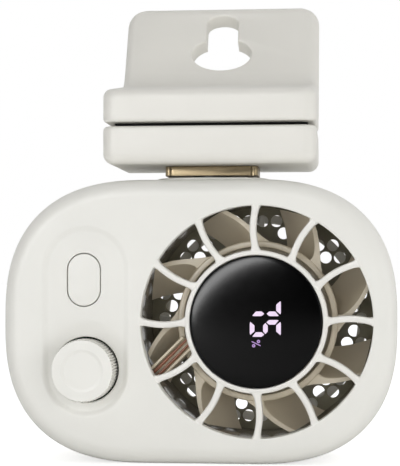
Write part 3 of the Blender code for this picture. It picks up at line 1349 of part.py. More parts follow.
def swivel_base():
    place = (SWIVEL_X, 0.0, 0.0)
    plate = prism("swivel_base", pill(SWIVEL_BASE_LENGTH, SWIVEL_BASE_WIDTH, 0.0, 10),
                  BASE_BOTTOM_Z, BASE_TOP_Z,
                  axis="Z", at=place, material=white_plastic())
    collar = rod("base_collar", COLLAR_RADIUS, COLLAR_BOTTOM_Z, BASE_TOP_Z - SWIVEL_BASE_THICKNESS / 2,
                 axis="Z", at=place, steps=24, tool=True)
    bore = rod("base_bore", POST_BORE, COLLAR_BOTTOM_Z - SINK, BASE_TOP_Z + SINK, axis="Z", at=place,
               steps=20,
               tool=True)
    join(plate, collar)
    cut(plate, bore)
    ring("swivel_nut", NUT_BORE + NUT_WALL, NUT_BORE, TOP_INNER_Z - SEAT_GAP - NUT_THICKNESS,
         TOP_INNER_Z - SEAT_GAP, axis="Z", at=place, steps=6 * 4, material=plain_steel())


def block_outline():
    """Swivel block from above: rounded ends and a groove near each end of both long sides."""
    half_length = BLOCK_LENGTH / 2
    half_width = BLOCK_WIDTH / 2
    outer = half_length - BLOCK_GROOVE_INSET + BLOCK_GROOVE / 2
    inner = outer - BLOCK_GROOVE
    groove = [(outer, half_width), (outer, half_width - BLOCK_GROOVE), (inner, half_width - BLOCK_GROOVE),
              (inner, half_width)]
    corner_depth = half_width - BLOCK_CORNER
    corner = [(outer + (half_length - outer) * math.sin(a),
               corner_depth + BLOCK_CORNER * math.cos(a)) for a in [math.pi / 2 * i / 5 for i in range(6)]]
    quarter = list(reversed(corner)) + groove[1:]
    points = quarter + [(-x, y) for x, y in reversed(quarter)]
    points += [(-x, -y) for x, y in quarter] + [(x, -y) for x, y in reversed(quarter)]
    return points


def swivel_parts():
    place = (SWIVEL_X, 0.0, 0.0)
    block = prism("swivel_block", block_outline(), BLOCK_BOTTOM_Z, BLOCK_TOP_Z, axis="Z", at=place,
                  material=champagne_metal())
    bore = rod("block_bore", POST_BORE, BLOCK_BOTTOM_Z - SINK, BLOCK_TOP_Z + SINK, axis="Z", at=place,
               steps=20,
               tool=True)
    cut(block, bore)
    washer = ring("swivel_washer", POST_BORE + WASHER_WIDTH, POST_BORE, WASHER_BOTTOM_Z,
                  WASHER_BOTTOM_Z + WASHER_THICKNESS, axis="Z", at=place, steps=24, material=black_plastic())
    flange_top = COLLAR_BOTTOM_Z - SEAT_GAP
    flange_bottom = flange_top - POST_FLANGE_THICKNESS
    post = turned("swivel_post", [(0.0, JAW_BOTTOM_Z + POST_INSERT),
                                  (POST_RADIUS, JAW_BOTTOM_Z + POST_INSERT),
                                  (POST_RADIUS, flange_top), (POST_RADIUS + POST_FLANGE_WIDTH, flange_top),
                                  (POST_RADIUS + POST_FLANGE_WIDTH, flange_bottom), (0.0, flange_bottom)],
                  axis="Z", at=place, steps=20, material=plain_steel())
    return [block, washer, post]


def across_rod(name, radius, centre, start, end, steps=20, **options):
    """Rod along X about the hinge axis, from one distance off the clip's middle to another."""
    return rod(name, radius, start, end, axis="X", at=(SWIVEL_X, centre[0], centre[1]), steps=steps,
               **options)


def mirrored_pair(function, name, start, end, **options):
    """The same rod at both sides of the clip's middle."""
    return [function(name + "_right", start=start, end=end, **options),
            function(name + "_left", start=-end, end=-start, **options)]


def rear_slope_cutter():
    """Box whose underside is the sloping rear of the lower jaw, parallel to the opened upper jaw."""
    offset = JAW_GAP / 2 - REAR_STOP_GAP
    size = 0.060
    up = Vector((0.0, math.sin(OPEN_ANGLE), math.cos(OPEN_ANGLE)))
    back = Vector((0.0, math.cos(OPEN_ANGLE), -math.sin(OPEN_ANGLE)))
    run = offset / math.tan(OPEN_ANGLE)
    hinge = Vector((SWIVEL_X, HINGE_Y, HINGE_Z))
    centre = hinge + up * (offset + size / 2) + back * (size / 2 + run - REAR_STOP_GAP)
    return box("rear_slope", (CLIP_WIDTH * 1.2, size, size), centre, (-OPEN_ANGLE, 0.0, 0.0), tool=True)


def lower_jaw():
    centre = (HINGE_Y, HINGE_Z)
    length = JAW_BACK_Y - JAW_FRONT_Y
    outline = rounded_rectangle(CLIP_WIDTH, length, JAW_CORNER, 5)
    jaw = prism("lower_jaw", outline, JAW_BOTTOM_Z, GAP_BOTTOM_Z, axis="Z",
                low_round=LOWER_JAW_BOTTOM_ROUND, high_round=JAW_LIP_ROUND, steps=3,
                at=(SWIVEL_X, (JAW_FRONT_Y + JAW_BACK_Y) / 2, 0.0), material=white_plastic())
    relief = KNUCKLE_RADIUS + KNUCKLE_RELIEF
    reliefs = mirrored_pair(across_rod, "lower_relief", KNUCKLE_START - KNUCKLE_SIDE_GAP,
                            KNUCKLE_END + KNUCKLE_SIDE_GAP, radius=relief, centre=centre, tool=True)
    bay = spring_bay("lower_bay", HINGE_Z - SPRING_REACH - SEAT_GAP, GAP_TOP_Z)
    cut(jaw, rear_slope_cutter(), bay, *reliefs)
    ears = mirrored_pair(across_rod, "ear", EAR_INNER, EAR_END, radius=KNUCKLE_RADIUS, centre=centre,
                         tool=True)
    web_bottom = JAW_BOTTOM_Z + LOWER_JAW_BOTTOM_ROUND
    for side, ear in zip((1, -1), ears):
        web = box("ear_web_%s" % ("right" if side > 0 else "left"),
                  (EAR_WIDTH - 2 * FINE_GAP, KNUCKLE_RADIUS * 1.5, HINGE_Z - web_bottom),
                  (SWIVEL_X + side * (EAR_INNER + EAR_WIDTH / 2), HINGE_Y, (HINGE_Z + web_bottom) / 2),
                  tool=True)
        join(jaw, ear, web)
    pin_way = across_rod("lower_pin_way", PIN_BORE, centre, -EAR_END - SINK, EAR_END + SINK, steps=16,
                         tool=True)
    post_bore = rod("post_bore", POST_BORE, JAW_BOTTOM_Z - SINK, JAW_BOTTOM_Z + POST_INSERT + SEAT_GAP,
                    axis="Z",
                    at=(SWIVEL_X, 0.0, 0.0), steps=20, tool=True)
    floor = GAP_BOTTOM_Z + PAD_PROUD - PAD_THICKNESS - SEAT_GAP
    cut(jaw, pin_way, post_bore, pad_pocket("lower_pad_pocket", floor, GAP_BOTTOM_Z + SINK))
    return jaw


def spring_bay(name, low, high):
    """Space that the spring lies in, open to the rear of the jaws."""
    depth = JAW_BACK_Y - BAY_FRONT_Y + HANDLE_THICKNESS
    return box(name, (2 * BAY_HALF_WIDTH, depth, high - low),
               (SWIVEL_X, BAY_FRONT_Y + depth / 2, (low + high) / 2), tool=True)


def pad_middle_y():
    return JAW_FRONT_Y + PAD_FRONT_INSET + PAD_LENGTH / 2


def pad_pocket(name, low, high):
    grow = 2 * SEAT_GAP
    return prism(name, rounded_rectangle(PAD_WIDTH + grow, PAD_LENGTH + grow, PAD_CORNER + SEAT_GAP, 4),
                 low, high,
                 axis="Z", at=(SWIVEL_X, pad_middle_y(), 0.0), tool=True)


def jaw_pad(name, low):
    return prism(name, rounded_rectangle(PAD_WIDTH, PAD_LENGTH, PAD_CORNER, 4), low, low + PAD_THICKNESS,
                 axis="Z",
                 at=(SWIVEL_X, pad_middle_y(), 0.0), material=black_rubber())


def end_round(distance, radius):
    """How far a quarter-round edge lies inside its face, at a distance from the end."""
    if distance >= radius:
        return 0.0
    return radius - math.sqrt(radius * radius - (radius - distance) ** 2)


def bent_line(start, corner, end, radius, count):
    """Points along two straight stretches joined by an arc, evenly spaced by length."""
    first = (corner - start).normalized()
    second = (end - corner).normalized()
    turn = first.angle(second)
    reach = radius * math.tan(turn / 2)
    lengths = ((corner - start).length - reach, radius * turn, (end - corner).length - reach)
    inward = (second - first * first.dot(second)).normalized()
    centre = corner - first * reach + inward * radius
    points = []
    for step in range(count):
        s = sum(lengths) * step / (count - 1)
        if s < lengths[0]:
            points.append(start + first * s)
        elif s < lengths[0] + lengths[1]:
            a = (s - lengths[0]) / radius
            points.append(centre - inward * radius * math.cos(a) + first * radius * math.sin(a))
        else:
            points.append(corner + second * (reach + s - lengths[0] - lengths[1]))
    return points


def upper_jaw_stations():
    """Side view of the upper jaw as pairs of points: jaw top and handle front, jaw bottom and handle rear.

    Each station is (top point, bottom point, half width, rounding), with points as (y, z).
    """
    slope = Vector((math.cos(UPPER_JAW_SLOPE), math.sin(UPPER_JAW_SLOPE)))
    lean = Vector((math.sin(HANDLE_LEAN), math.cos(HANDLE_LEAN)))
    out = Vector((lean.y, -lean.x))
    front_top = Vector((JAW_FRONT_Y, JAW_FRONT_TOP_Z))
    inner_corner = front_top + slope * ((HANDLE_FOOT_Y - JAW_FRONT_Y) / slope.x)
    inner_end = inner_corner + lean * INNER_BEND_RADIUS
    outer_end = inner_end + out * HANDLE_THICKNESS
    outer_corner = outer_end - lean * ((outer_end.y - GAP_TOP_Z) / lean.y)
    bend_start = HINGE_Y - BEND_RUN
    inner_start = front_top + slope * ((bend_start - JAW_FRONT_Y) / slope.x)
    outer_start = Vector((bend_start + BEND_LAG, GAP_TOP_Z))
    half = CLIP_WIDTH / 2
    stations = []
    for distance in [JAW_CORNER * share for share in (0.0, 0.09, 0.29, 0.6, 1.0)]:
        lowered = Vector((0.0, end_round(distance, UPPER_JAW_TOP_ROUND)))
        top = front_top + slope * (distance / slope.x) - lowered
        bottom = Vector((JAW_FRONT_Y + distance, GAP_TOP_Z + end_round(distance, JAW_LIP_ROUND)))
        stations.append((top, bottom, half - end_round(distance, JAW_CORNER), 0.0))
    inner = bent_line(inner_start, inner_corner, inner_end, INNER_BEND_RADIUS, 9)
    outer = bent_line(outer_start, outer_corner, outer_end, OUTER_BEND_RADIUS, 9)
    for step, (top, bottom) in enumerate(zip(inner, outer)):
        stations.append((top, bottom, half, step / 8))
    remaining = HANDLE_LENGTH - INNER_BEND_RADIUS
    stations.append((inner_end + lean * (remaining - HANDLE_CORNER) * 0.5,
                     outer_end + lean * (remaining - HANDLE_CORNER) * 0.5, half, 1.0))
    for distance in [HANDLE_CORNER * share for share in (1.0, 0.68, 0.43, 0.23, 0.11, 0.027, 0.0)]:
        shrink = end_round(distance, HANDLE_ROUND) * 0.9
        top = inner_end + lean * (remaining - distance) + out * shrink
        bottom = outer_end + lean * (remaining - distance) - out * shrink
        stations.append((top, bottom, half - end_round(distance, HANDLE_CORNER) * 0.999, 1.0))
    return stations


def section_points(top, bottom, half, blend):
    """Rounded rectangle across the clip between a top and a bottom point of the side view."""
    up = (top - bottom)
    height = up.length
    up = up.normalized()
    top_round = min(UPPER_JAW_TOP_ROUND + (HANDLE_ROUND - UPPER_JAW_TOP_ROUND) * blend, height * 0.45)
    bottom_round = min(JAW_LIP_ROUND + (HANDLE_ROUND - JAW_LIP_ROUND) * blend, height * 0.45)
    middle = bottom + up * height / 2
    points = []
    outline = rounded_rectangle(2 * half, height, 0.0, 3, (top_round, top_round, bottom_round, bottom_round))
    for x, h in outline:
        place = middle + up * h
        points.append((x, place.x, place.y))
    return points


def upper_jaw():
    centre = (HINGE_Y, HINGE_Z)
    stations = upper_jaw_stations()

    def build_mesh(work):
        rings = [[work.verts.new(p) for p in section_points(*station)] for station in stations]
        for before, after in zip(rings, rings[1:]):
            for i in range(len(before)):
                j = (i + 1) % len(before)
                work.faces.new((before[i], before[j], after[j], after[i]))
        work.faces.new(rings[0])
        work.faces.new(rings[-1])

    jaw = add_object("upper_jaw", mesh_from(build_mesh, "upper_jaw"), white_plastic())
    jaw.location = (SWIVEL_X, 0.0, 0.0)
    shade(jaw)
    knuckles = mirrored_pair(across_rod, "knuckle", KNUCKLE_START, KNUCKLE_END, radius=KNUCKLE_RADIUS,
                             centre=centre, tool=True)
    ear_relief = across_rod("ear_relief", KNUCKLE_RADIUS + KNUCKLE_RELIEF, centre,
                            -KNUCKLE_START + KNUCKLE_SIDE_GAP, KNUCKLE_START - KNUCKLE_SIDE_GAP, tool=True)
    bay = spring_bay("upper_bay", GAP_BOTTOM_Z, HINGE_Z + SPRING_REACH + SEAT_GAP)
    pin_way = across_rod("upper_pin_way", PIN_BORE, centre, -KNUCKLE_END - SINK, KNUCKLE_END + SINK, steps=16,
                         tool=True)
    cut(jaw, ear_relief, bay)
    join(jaw, *knuckles)
    ceiling_pocket = GAP_TOP_Z - PAD_PROUD + PAD_THICKNESS + SEAT_GAP
    cut(jaw, pin_way, keyhole_cutter(), pad_pocket("upper_pad_pocket", GAP_TOP_Z - SINK, ceiling_pocket))
    return jaw


def keyhole_outline():
    """Wide oval lobe with a narrower arched slot above it, about the lobe's centre."""
    meet = math.acos(KEYHOLE_SLOT_HALF_WIDTH / KEYHOLE_LOBE_HALF_WIDTH)
    lobe = ellipse_arc(KEYHOLE_LOBE_HALF_WIDTH, KEYHOLE_LOBE_HALF_HEIGHT, math.pi - meet,
                       2 * math.pi + meet, 22)
    arch = ellipse_arc(KEYHOLE_SLOT_HALF_WIDTH, KEYHOLE_ARCH, 0.0, math.pi, 9, KEYHOLE_REACH - KEYHOLE_ARCH)
    return lobe + arch


def keyhole_cutter():
    """Keyhole through the handle, square to the plate."""
    lean = Vector((math.sin(HANDLE_LEAN), math.cos(HANDLE_LEAN)))
    slope = math.tan(UPPER_JAW_SLOPE)
    foot_z = JAW_FRONT_TOP_Z + slope * (HANDLE_FOOT_Y - JAW_FRONT_Y)
    y = HANDLE_FOOT_Y + lean.x * KEYHOLE_HEIGHT
    z = foot_z + lean.y * KEYHOLE_HEIGHT
    cutter = prism("keyhole", keyhole_outline(), -HANDLE_THICKNESS, 2 * HANDLE_THICKNESS,
                   at=(SWIVEL_X, y, z), tool=True)
    cutter.rotation_euler = (-HANDLE_LEAN, 0.0, 0.0)
    return cutter


def clip_spring():
    """Torsion spring round the hinge pin: a lower leg, a helix, and an upper leg.

    The helix is worked out turn by turn. Its least distance to itself is measured on its points.
    """
    points = []
    start_x = -SPRING_LENGTH / 2
    legs = [HINGE_Y + SPRING_LEG, HINGE_Y + 2 * SPRING_WIRE_RADIUS]
    for y in legs:
        points.append(Vector((SWIVEL_X + start_x, y, HINGE_Z - SPRING_MEAN_RADIUS)))
    count = round(SPRING_TURNS * SPRING_POINTS_PER_TURN)
    for step in range(count + 1):
        share = step / count
        angle = -math.pi / 2 - 2 * math.pi * SPRING_TURNS * share
        x = SWIVEL_X + start_x + SPRING_LENGTH * share
        points.append(Vector((x, HINGE_Y + SPRING_MEAN_RADIUS * math.cos(angle),
                              HINGE_Z + SPRING_MEAN_RADIUS * math.sin(angle))))
    for y in reversed(legs):
        points.append(Vector((SWIVEL_X - start_x, y, HINGE_Z + SPRING_MEAN_RADIUS)))
    print("clip spring: least gap to itself %.2f mm" % (1000 * least_gap(points)))
    return wire("clip_spring", points, SPRING_WIRE_RADIUS, plain_steel())


def least_gap(points):
    """Least free distance between stretches of the wire at least half a turn apart."""
    apart = SPRING_POINTS_PER_TURN // 2 + 1
    nearest = min((a - b).length for i, a in enumerate(points) for b in points[i + apart:])
    return nearest - 2 * SPRING_WIRE_RADIUS


def hinge_pin():
    half = KNUCKLE_END - HINGE_PIN_RECESS
    return across_rod("hinge_pin", HINGE_PIN_RADIUS, (HINGE_Y, HINGE_Z), -half, half, steps=16,
                      material=plain_steel())


def joint_frame(name, place, children):
    """Empty on a joint's axis that carries the pieces that move with it."""
    empty = bpy.data.objects.new(name, None)
    empty.location = place
    bpy.data.collections[PARTS_NAME].objects.link(empty)
    bpy.context.view_layer.update()
    for child in children:
        child.parent = empty
        child.matrix_parent_inverse = empty.matrix_world.inverted()
    return empty


def parts_named(*names):
    return [bpy.data.objects[name] for name in names]


def build():
    clear_scene()
    front_cover()
    rear_cover()
    case_screws()
    front_grille()
    rear_grille()
    rear_mesh()
    fan_duct()
    lead_channel()
    display_leads()
    display_parts()
    impeller()
    motor()
    motor_leads()
    main_board()
    power_button()
    power_switch()
    speed_knob()
    knob_encoder()
    charge_port()
    battery()
    swivel_base()
    swivelling = swivel_parts()
    swivelling += [lower_jaw(), hinge_pin(), clip_spring()]
    swivelling.append(jaw_pad("lower_pad", GAP_BOTTOM_Z + PAD_PROUD - PAD_THICKNESS))
    opening = [upper_jaw(), jaw_pad("upper_pad", GAP_TOP_Z - PAD_PROUD)]
    fan_axis = (FAN_X, 0.0, FAN_Z)
    joint_frame("impeller_axis", fan_axis, parts_named("impeller", "rotor_can", "magnet_ring", "motor_shaft"))
    joint_frame("knob_axis", (TRACK_X, 0.0, KNOB_Z), parts_named("speed_knob", "encoder_shaft"))
    joint_frame("button_axis", (BUTTON_X, 0.0, BUTTON_Z), parts_named("power_button"))
    swivel = joint_frame("swivel_axis", (SWIVEL_X, 0.0, 0.0), swivelling)
    hinge = joint_frame("clip_hinge_axis", (SWIVEL_X, HINGE_Y, HINGE_Z), opening)
    hinge.parent = swivel
    hinge.matrix_parent_inverse = swivel.matrix_world.inverted()


build()
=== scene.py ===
import math

import bmesh
import bpy
import numpy as np
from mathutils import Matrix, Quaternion, Vector


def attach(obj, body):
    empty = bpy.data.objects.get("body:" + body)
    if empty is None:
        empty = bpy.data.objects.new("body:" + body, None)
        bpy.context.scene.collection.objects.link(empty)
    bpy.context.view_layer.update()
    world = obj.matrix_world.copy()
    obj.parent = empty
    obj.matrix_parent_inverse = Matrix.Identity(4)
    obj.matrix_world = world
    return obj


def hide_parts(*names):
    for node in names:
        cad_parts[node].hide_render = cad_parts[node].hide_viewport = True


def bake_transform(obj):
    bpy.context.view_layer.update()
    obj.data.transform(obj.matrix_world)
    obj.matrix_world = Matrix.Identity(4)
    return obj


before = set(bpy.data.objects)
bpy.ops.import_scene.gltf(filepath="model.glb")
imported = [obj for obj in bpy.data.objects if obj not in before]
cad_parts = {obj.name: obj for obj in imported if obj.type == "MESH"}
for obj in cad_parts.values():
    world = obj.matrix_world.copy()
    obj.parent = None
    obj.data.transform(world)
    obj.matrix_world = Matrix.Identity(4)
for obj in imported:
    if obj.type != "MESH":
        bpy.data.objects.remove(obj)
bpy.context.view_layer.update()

# Sizes in millimetres, as in the solids. Plan outlines are (x, z), side profiles are (y, z).
MM = 0.001

# Housing: outline, walls, the line where its halves meet and the four screws.
BODY_HALF_WIDTH = 50.0
BODY_CENTRE_Z = 36.0
BODY_HALF_HEIGHT = 36.0
CORNER_WIDTH = 36.6
CORNER_HEIGHT = 35.0
CORNER_POWER = 2.5
FRONT_Y = -17.0
BACK_Y = 17.0
WALL = 2.0
PARTING_FRONT_Y = 6.5
PARTING_BACK_Y = 6.8
FRONT_EDGE = 4.5
BACK_EDGE = 3.0
SPLIT_X = -16.3
FACE_SHARES = (0.0, 0.012, 0.12, 0.3, 0.5, 0.7, 0.88, 0.988, 1.0)
PORT_Y = -6.1
PORT_HALF_WIDTH = 1.9
PORT_HALF_RUN = 2.85
SCREW_PLACES = ((38.74, 60.04), (-34.5, 61.2), (38.74, 11.96), (-34.5, 10.8))
SCREW_HEAD_RADIUS = 2.1

# Control track, button and knob.
TRACK_CENTRE = np.array((-28.4, 36.0))
TRACK_HALF_WIDTH = 10.35
TRACK_HALF_RUN = 13.15
TRACK_DEPTH = 0.35
TRACK_EASE = 0.9
TRACK_SPLIT_Z = 36.5
BUTTON_CENTRE = np.array((-28.9, 46.5))
BUTTON_HALF_WIDTH = 4.1
BUTTON_HALF_RUN = 2.5
BUTTON_GAP = 0.25
BUTTON_LIP = 0.1
KNOB_CENTRE = np.array((-28.4, 23.8))
KNOB_RADIUS = 7.9
KNOB_HOLE_RADIUS = 8.3
KNOB_LIP = 0.35
KNOB_RIDGES = 66
RIDGE_DEPTH = 0.55
KNOB_FRONT_Y = -22.0
KNOB_REAR_Y = -13.2
BOWL_RADIUS = 13.0
BOWL_DEPTH = 0.5

# Fan opening, guards, duct, mesh and blades.
FAN_CENTRE = np.array((14.7, 36.0))
OPENING_RADIUS = 29.2
OPENING_LIP = 0.3
DUCT_RADIUS = 30.0
DUCT_OUTER_RADIUS = 31.2
DUCT_FRONT_Y = -12.9
DUCT_REAR_Y = 12.0
HUB_RADIUS = 18.0
LENS_BORE = 16.7
RIM_RADIUS = 31.0
RIM_INNER_RADIUS = 29.25
RIB_COUNT = 12
RIB_END = 29.32
RIB_FRONT_Y = -16.92
RIB_BOW = 0.8
RIB_HALF_WIDTH = 0.82
RIM_FLARE = 0.55
MESH_FRONT_Y = 12.3
MESH_REAR_Y = 12.9
MESH_BORE = 6.3
MESH_PITCH = 3.8
MESH_HOLE = 1.6
MESH_BAND = 6.4
BLADE_COUNT = 8
BLADE_ROOT = 19.3
BLADE_TIP = 29.4

# Lens and read-out. Bars of one figure in a box 4.0 wide and 7.5 high: middle point, length, upright or
# not, the side that faces out of the figure and the form of both ends.
LENS_RADIUS = 16.4
DOME_EDGE_Y = -17.1
DOME_RISE = 1.5
LENS_BACK_Y = -15.9
LIT_PROUD = 0.02
STROKE = 1.16
SEGMENTS = {"a": (2.02, 7.0, 3.28, False, 1, ("corner", "corner")),
            "b": (3.52, 5.54, 3.0, True, 1, ("point", "corner")),
            "c": (3.52, 1.97, 2.95, True, 1, ("corner", "point")),
            "d": (2.0, 0.43, 3.2, False, -1, ("corner", "corner")),
            "e": (0.48, 1.97, 2.95, True, -1, ("corner", "point")),
            "f": (0.48, 5.5, 3.0, True, -1, ("point", "corner")),
            "g": (2.02, 3.74, 2.75, False, 1, ("point", "point"))}
FIGURES = (("abc", (13.43, 41.6)), ("afgcd", (13.43, 36.45)))
PERCENT_RINGS = ((15.44, 31.2), (14.25, 30.12))
PERCENT_MIDDLE = (14.85, 30.66)
PERCENT_RUN = (1.1, -0.52)

# Clip: hinge, swivel base and block, the jaws and the gap between them, pads, bay, ears and knuckles.
CLIP_X = 2.4
HINGE = np.array((12.0, 86.3))
BASE_LOW_Z = 72.15
BASE_HIGH_Z = 72.85
BLOCK_LOW_Z = 73.5
BLOCK_HIGH_Z = 75.95
JAW_HALF_WIDTH = 27.4
JAW_FRONT_Y = -14.0
JAW_BACK_Y = 21.5
LOWER_Z = 76.1
REAR_SLOPE = 35.0
GAP_LOW_Z = 85.75
GAP_HIGH_Z = 86.85
PAD_HALF_WIDTH = 24.9
PAD_FRONT_Y = -9.0
PAD_REAR_Y = 5.7
PAD_CORNER = 1.5
PAD_THICKNESS = 1.2
PAD_PROUD = 0.4
PAD_CLEARANCE = 0.3
BAY_HALF_WIDTH = 9.0
BAY_FRONT_Y = 7.2
EAR_INNER = 9.3
EAR_END = 13.3
KNUCKLE_START = 13.9
KNUCKLE_END = 18.2
KNUCKLE_RADIUS = 3.4
HINGE_RELIEF = 0.4
HINGE_GAP = 0.3
PIN_RADIUS = 1.25
PIN_HALF_LENGTH = 18.0
PIN_WAY_RADIUS = 1.5

# Upper jaw and handle: top of the jaw rising to the handle's foot, then the handle leaning back.
SLOPE = np.array((math.cos(math.radians(9.2)), math.sin(math.radians(9.2))))
LEAN = np.array((math.sin(math.radians(24.0)), math.cos(math.radians(24.0))))
OUTWARD = np.array((LEAN[1], -LEAN[0]))
JAW_TOP_FRONT = np.array((JAW_FRONT_Y, 95.05))
JAW_NOSE = 3.5
HANDLE_FOOT = JAW_TOP_FRONT + SLOPE * ((20.5 - JAW_FRONT_Y) / SLOPE[0])
HANDLE_BEND = 8.6
HANDLE_THICKNESS = 6.0
HANDLE_LENGTH = 26.4
HANDLE_CORNER = 5.6
KEYHOLE_HEIGHT = 10.3
LOBE_HALF_WIDTH = 8.4
LOBE_HALF_HEIGHT = 5.25
SLOT_HALF_WIDTH = 4.5
SLOT_RISE = 10.1
SLOT_ARCH = 2.7

# Light on the set.
FLOOR_LIFT = 0.6
ROOM_FRONT = 0.04
ROOM_REAR = 0.75


def linked(name, data):
    """A new object with this data, put in the scene."""
    thing = bpy.data.objects.new(name, data)
    bpy.context.scene.collection.objects.link(thing)
    return thing


def grid_quads(rows, columns, wrap_rows, wrap_columns):
    """Four corner numbers for every cell of a grid of points."""
    across = np.arange(rows if wrap_rows else rows - 1)
    along = np.arange(columns if wrap_columns else columns - 1)
    r, c = np.meshgrid(across, along, indexing="ij")
    r_next = (r + 1) % rows
    c_next = (c + 1) % columns
    corners = (r * columns + c, r * columns + c_next, r_next * columns + c_next, r_next * columns + c)
    return np.stack(corners, axis=-1).reshape(-1, 4)


def surface(name, *sheets, crease=38.0):
    """One object from sheets of points (rows, columns, xyz).

    A plain sheet is open along its rows and closes round its columns; a tuple gives a sheet with its own
    two wrap flags. Points closer than 0.0015 mm become one, which closes seams and poles, and the faces
    are turned outwards.
    """
    points = []
    quads = []
    count = 0
    for sheet in sheets:
        sheet, wrap_rows, wrap_columns = sheet if isinstance(sheet, tuple) else (sheet, False, True)
        rows, columns = sheet.shape[:2]
        points.append(sheet.reshape(-1, 3))
        quads.append(grid_quads(rows, columns, wrap_rows, wrap_columns) + count)
        count += rows * columns
    mesh = bpy.data.meshes.new(name)
    mesh.from_pydata((np.concatenate(points) * MM).tolist(), [], np.concatenate(quads).tolist())
    work = bmesh.new()
    work.from_mesh(mesh)
    bmesh.ops.remove_doubles(work, verts=work.verts, dist=1.5e-6)
    bmesh.ops.recalc_face_normals(work, faces=work.faces)
    work.to_mesh(mesh)
    work.free()
    smooth_shaded(mesh, crease)
    return linked(name, mesh)


def smooth_shaded(mesh, crease):
    """Smooth shading with sharp edges where two faces meet at more than the crease, in degrees."""
    mesh.polygons.foreach_set("use_smooth", np.ones(len(mesh.polygons), dtype=bool))
    mesh.set_sharp_from_angle(angle=math.radians(crease))
    mesh.update()


def closed(sheet):
    """A sheet that closes round both ways, such as a ring."""
    return sheet, True, True


def to_middle(row):
    """A closing face from an end row of points to its middle point."""
    return np.stack((row, np.broadcast_to(row.mean(axis=0), row.shape)))


def to_fold(row):
    """A closing face from an end row of points to the line half way between its two halves."""
    return np.stack((row, (row + row[::-1]) / 2))


def with_ends(body, close):
    """A body of rows, and a closing face over its first and its last row."""
    return body, close(body[0]), close(body[-1])


def carve(thing, *cutters, crease=38.0, joining=False):
    """The thing with the cutters taken away or joined on, kept as a plain mesh."""
    for cutter in cutters:
        step = thing.modifiers.new("cut", "BOOLEAN")
        step.operation = "UNION" if joining else "DIFFERENCE"
        step.solver = "EXACT"
        step.object = cutter
    shown = thing.evaluated_get(bpy.context.evaluated_depsgraph_get())
    mesh = bpy.data.meshes.new_from_object(shown)
    thing.modifiers.clear()
    thing.data = mesh
    for cutter in cutters:
        bpy.data.objects.remove(cutter)
    smooth_shaded(mesh, crease)
    return thing


def painted(thing, material):
    """The thing with this one finish."""
    thing.data.materials.clear()
    thing.data.materials.append(material)
    return thing


def dress(thing, material, body, *nodes):
    """Gives the thing its finish, its moving body and the solids that it stands for."""
    painted(thing, material)
    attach(thing, body)
    if nodes:
        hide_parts(*nodes)


def unit(vectors):
    """Vectors brought to length 1."""
    return vectors / np.maximum(np.linalg.norm(vectors, axis=1, keepdims=True), 1e-9)


def eased(corners, rounds, steps):
    """Corner points with each corner turned into an arc that touches both its sides.

    Arc centre: corner + middle direction * round / sin(half angle). The arc runs from the foot on one
    side to the foot on the other by an even turn.
    """
    corners = np.asarray(corners, dtype=float)
    rounds = np.broadcast_to(np.asarray(rounds, dtype=float), (len(corners),))
    before = unit(np.roll(corners, 1, axis=0) - corners)
    after = unit(np.roll(corners, -1, axis=0) - corners)
    half = np.arccos(np.clip(np.sum(before * after, axis=1), -0.99999, 0.99999)) / 2
    reach = (rounds / np.tan(half))[:, None]
    centre = corners + unit(before + after) * (rounds / np.sin(half))[:, None]
    start = corners + before * reach - centre
    end = corners + after * reach - centre
    sweep = np.maximum(math.pi - 2 * half, 1e-6)[:, None]
    share = np.linspace(0.0, 1.0, steps + 1)[None, :]
    from_start = (np.sin((1 - share) * sweep) / np.sin(sweep))[..., None]
    from_end = (np.sin(share * sweep) / np.sin(sweep))[..., None]
    arcs = centre[:, None] + start[:, None] * from_start + end[:, None] * from_end
    return arcs.reshape(-1, 2)


def placed(first, second, level, axis="Y"):
    """Two plan coordinates and a level as points, the level along the named axis."""
    level = np.broadcast_to(level, first.shape)
    order = {"Y": (first, level, second), "Z": (first, second, level), "X": (level, first, second)}
    return np.stack(order[axis], axis=-1)


def lifted(plan, level, axis="Y"):
    """Rows of plan points raised to a level, which is a number or one value for every point."""
    return placed(plan[..., 0], plan[..., 1], level, axis)


def turned(profile, centre, steps, axis="Y"):
    """A profile of (radius, level) points carried round an axis: centre + radius (cos a, sin a)."""
    angle = np.linspace(0.0, 2 * math.pi, steps, endpoint=False)
    radius = profile[:, :1]
    return placed(centre[0] + radius * np.cos(angle), centre[1] + radius * np.sin(angle),
                  profile[:, 1:], axis)


def carried(points, normals, profile, axis="Y"):
    """A profile of (inset, level) points carried round a plan outline: point - inset * normal."""
    inset = profile[:, :1]
    return placed(points[:, 0] - inset * normals[:, 0], points[:, 1] - inset * normals[:, 1],
                  profile[:, 1:], axis)


def towards(ring, inner, shares):
    """Rows from a ring to its partner ring: ring + (inner - ring) times the row's share."""
    return ring + (inner - ring) * np.asarray(shares)[:, None, None]


def capped(ring, level, axis="Y", centre=None):
    """A flat face from a ring of plan points to its middle point, with a narrow first row."""
    middle = ring.mean(axis=0) if centre is None else centre
    return lifted(towards(ring, np.broadcast_to(middle, ring.shape), (0.0, 0.02, 0.5, 1.0)), level, axis)


def circle_partner(ring, centre, radius):
    """For each ring point, the point of a circle on the same ray, and the outward normal there."""
    ray = unit(ring - centre)
    return centre + ray * radius, ray


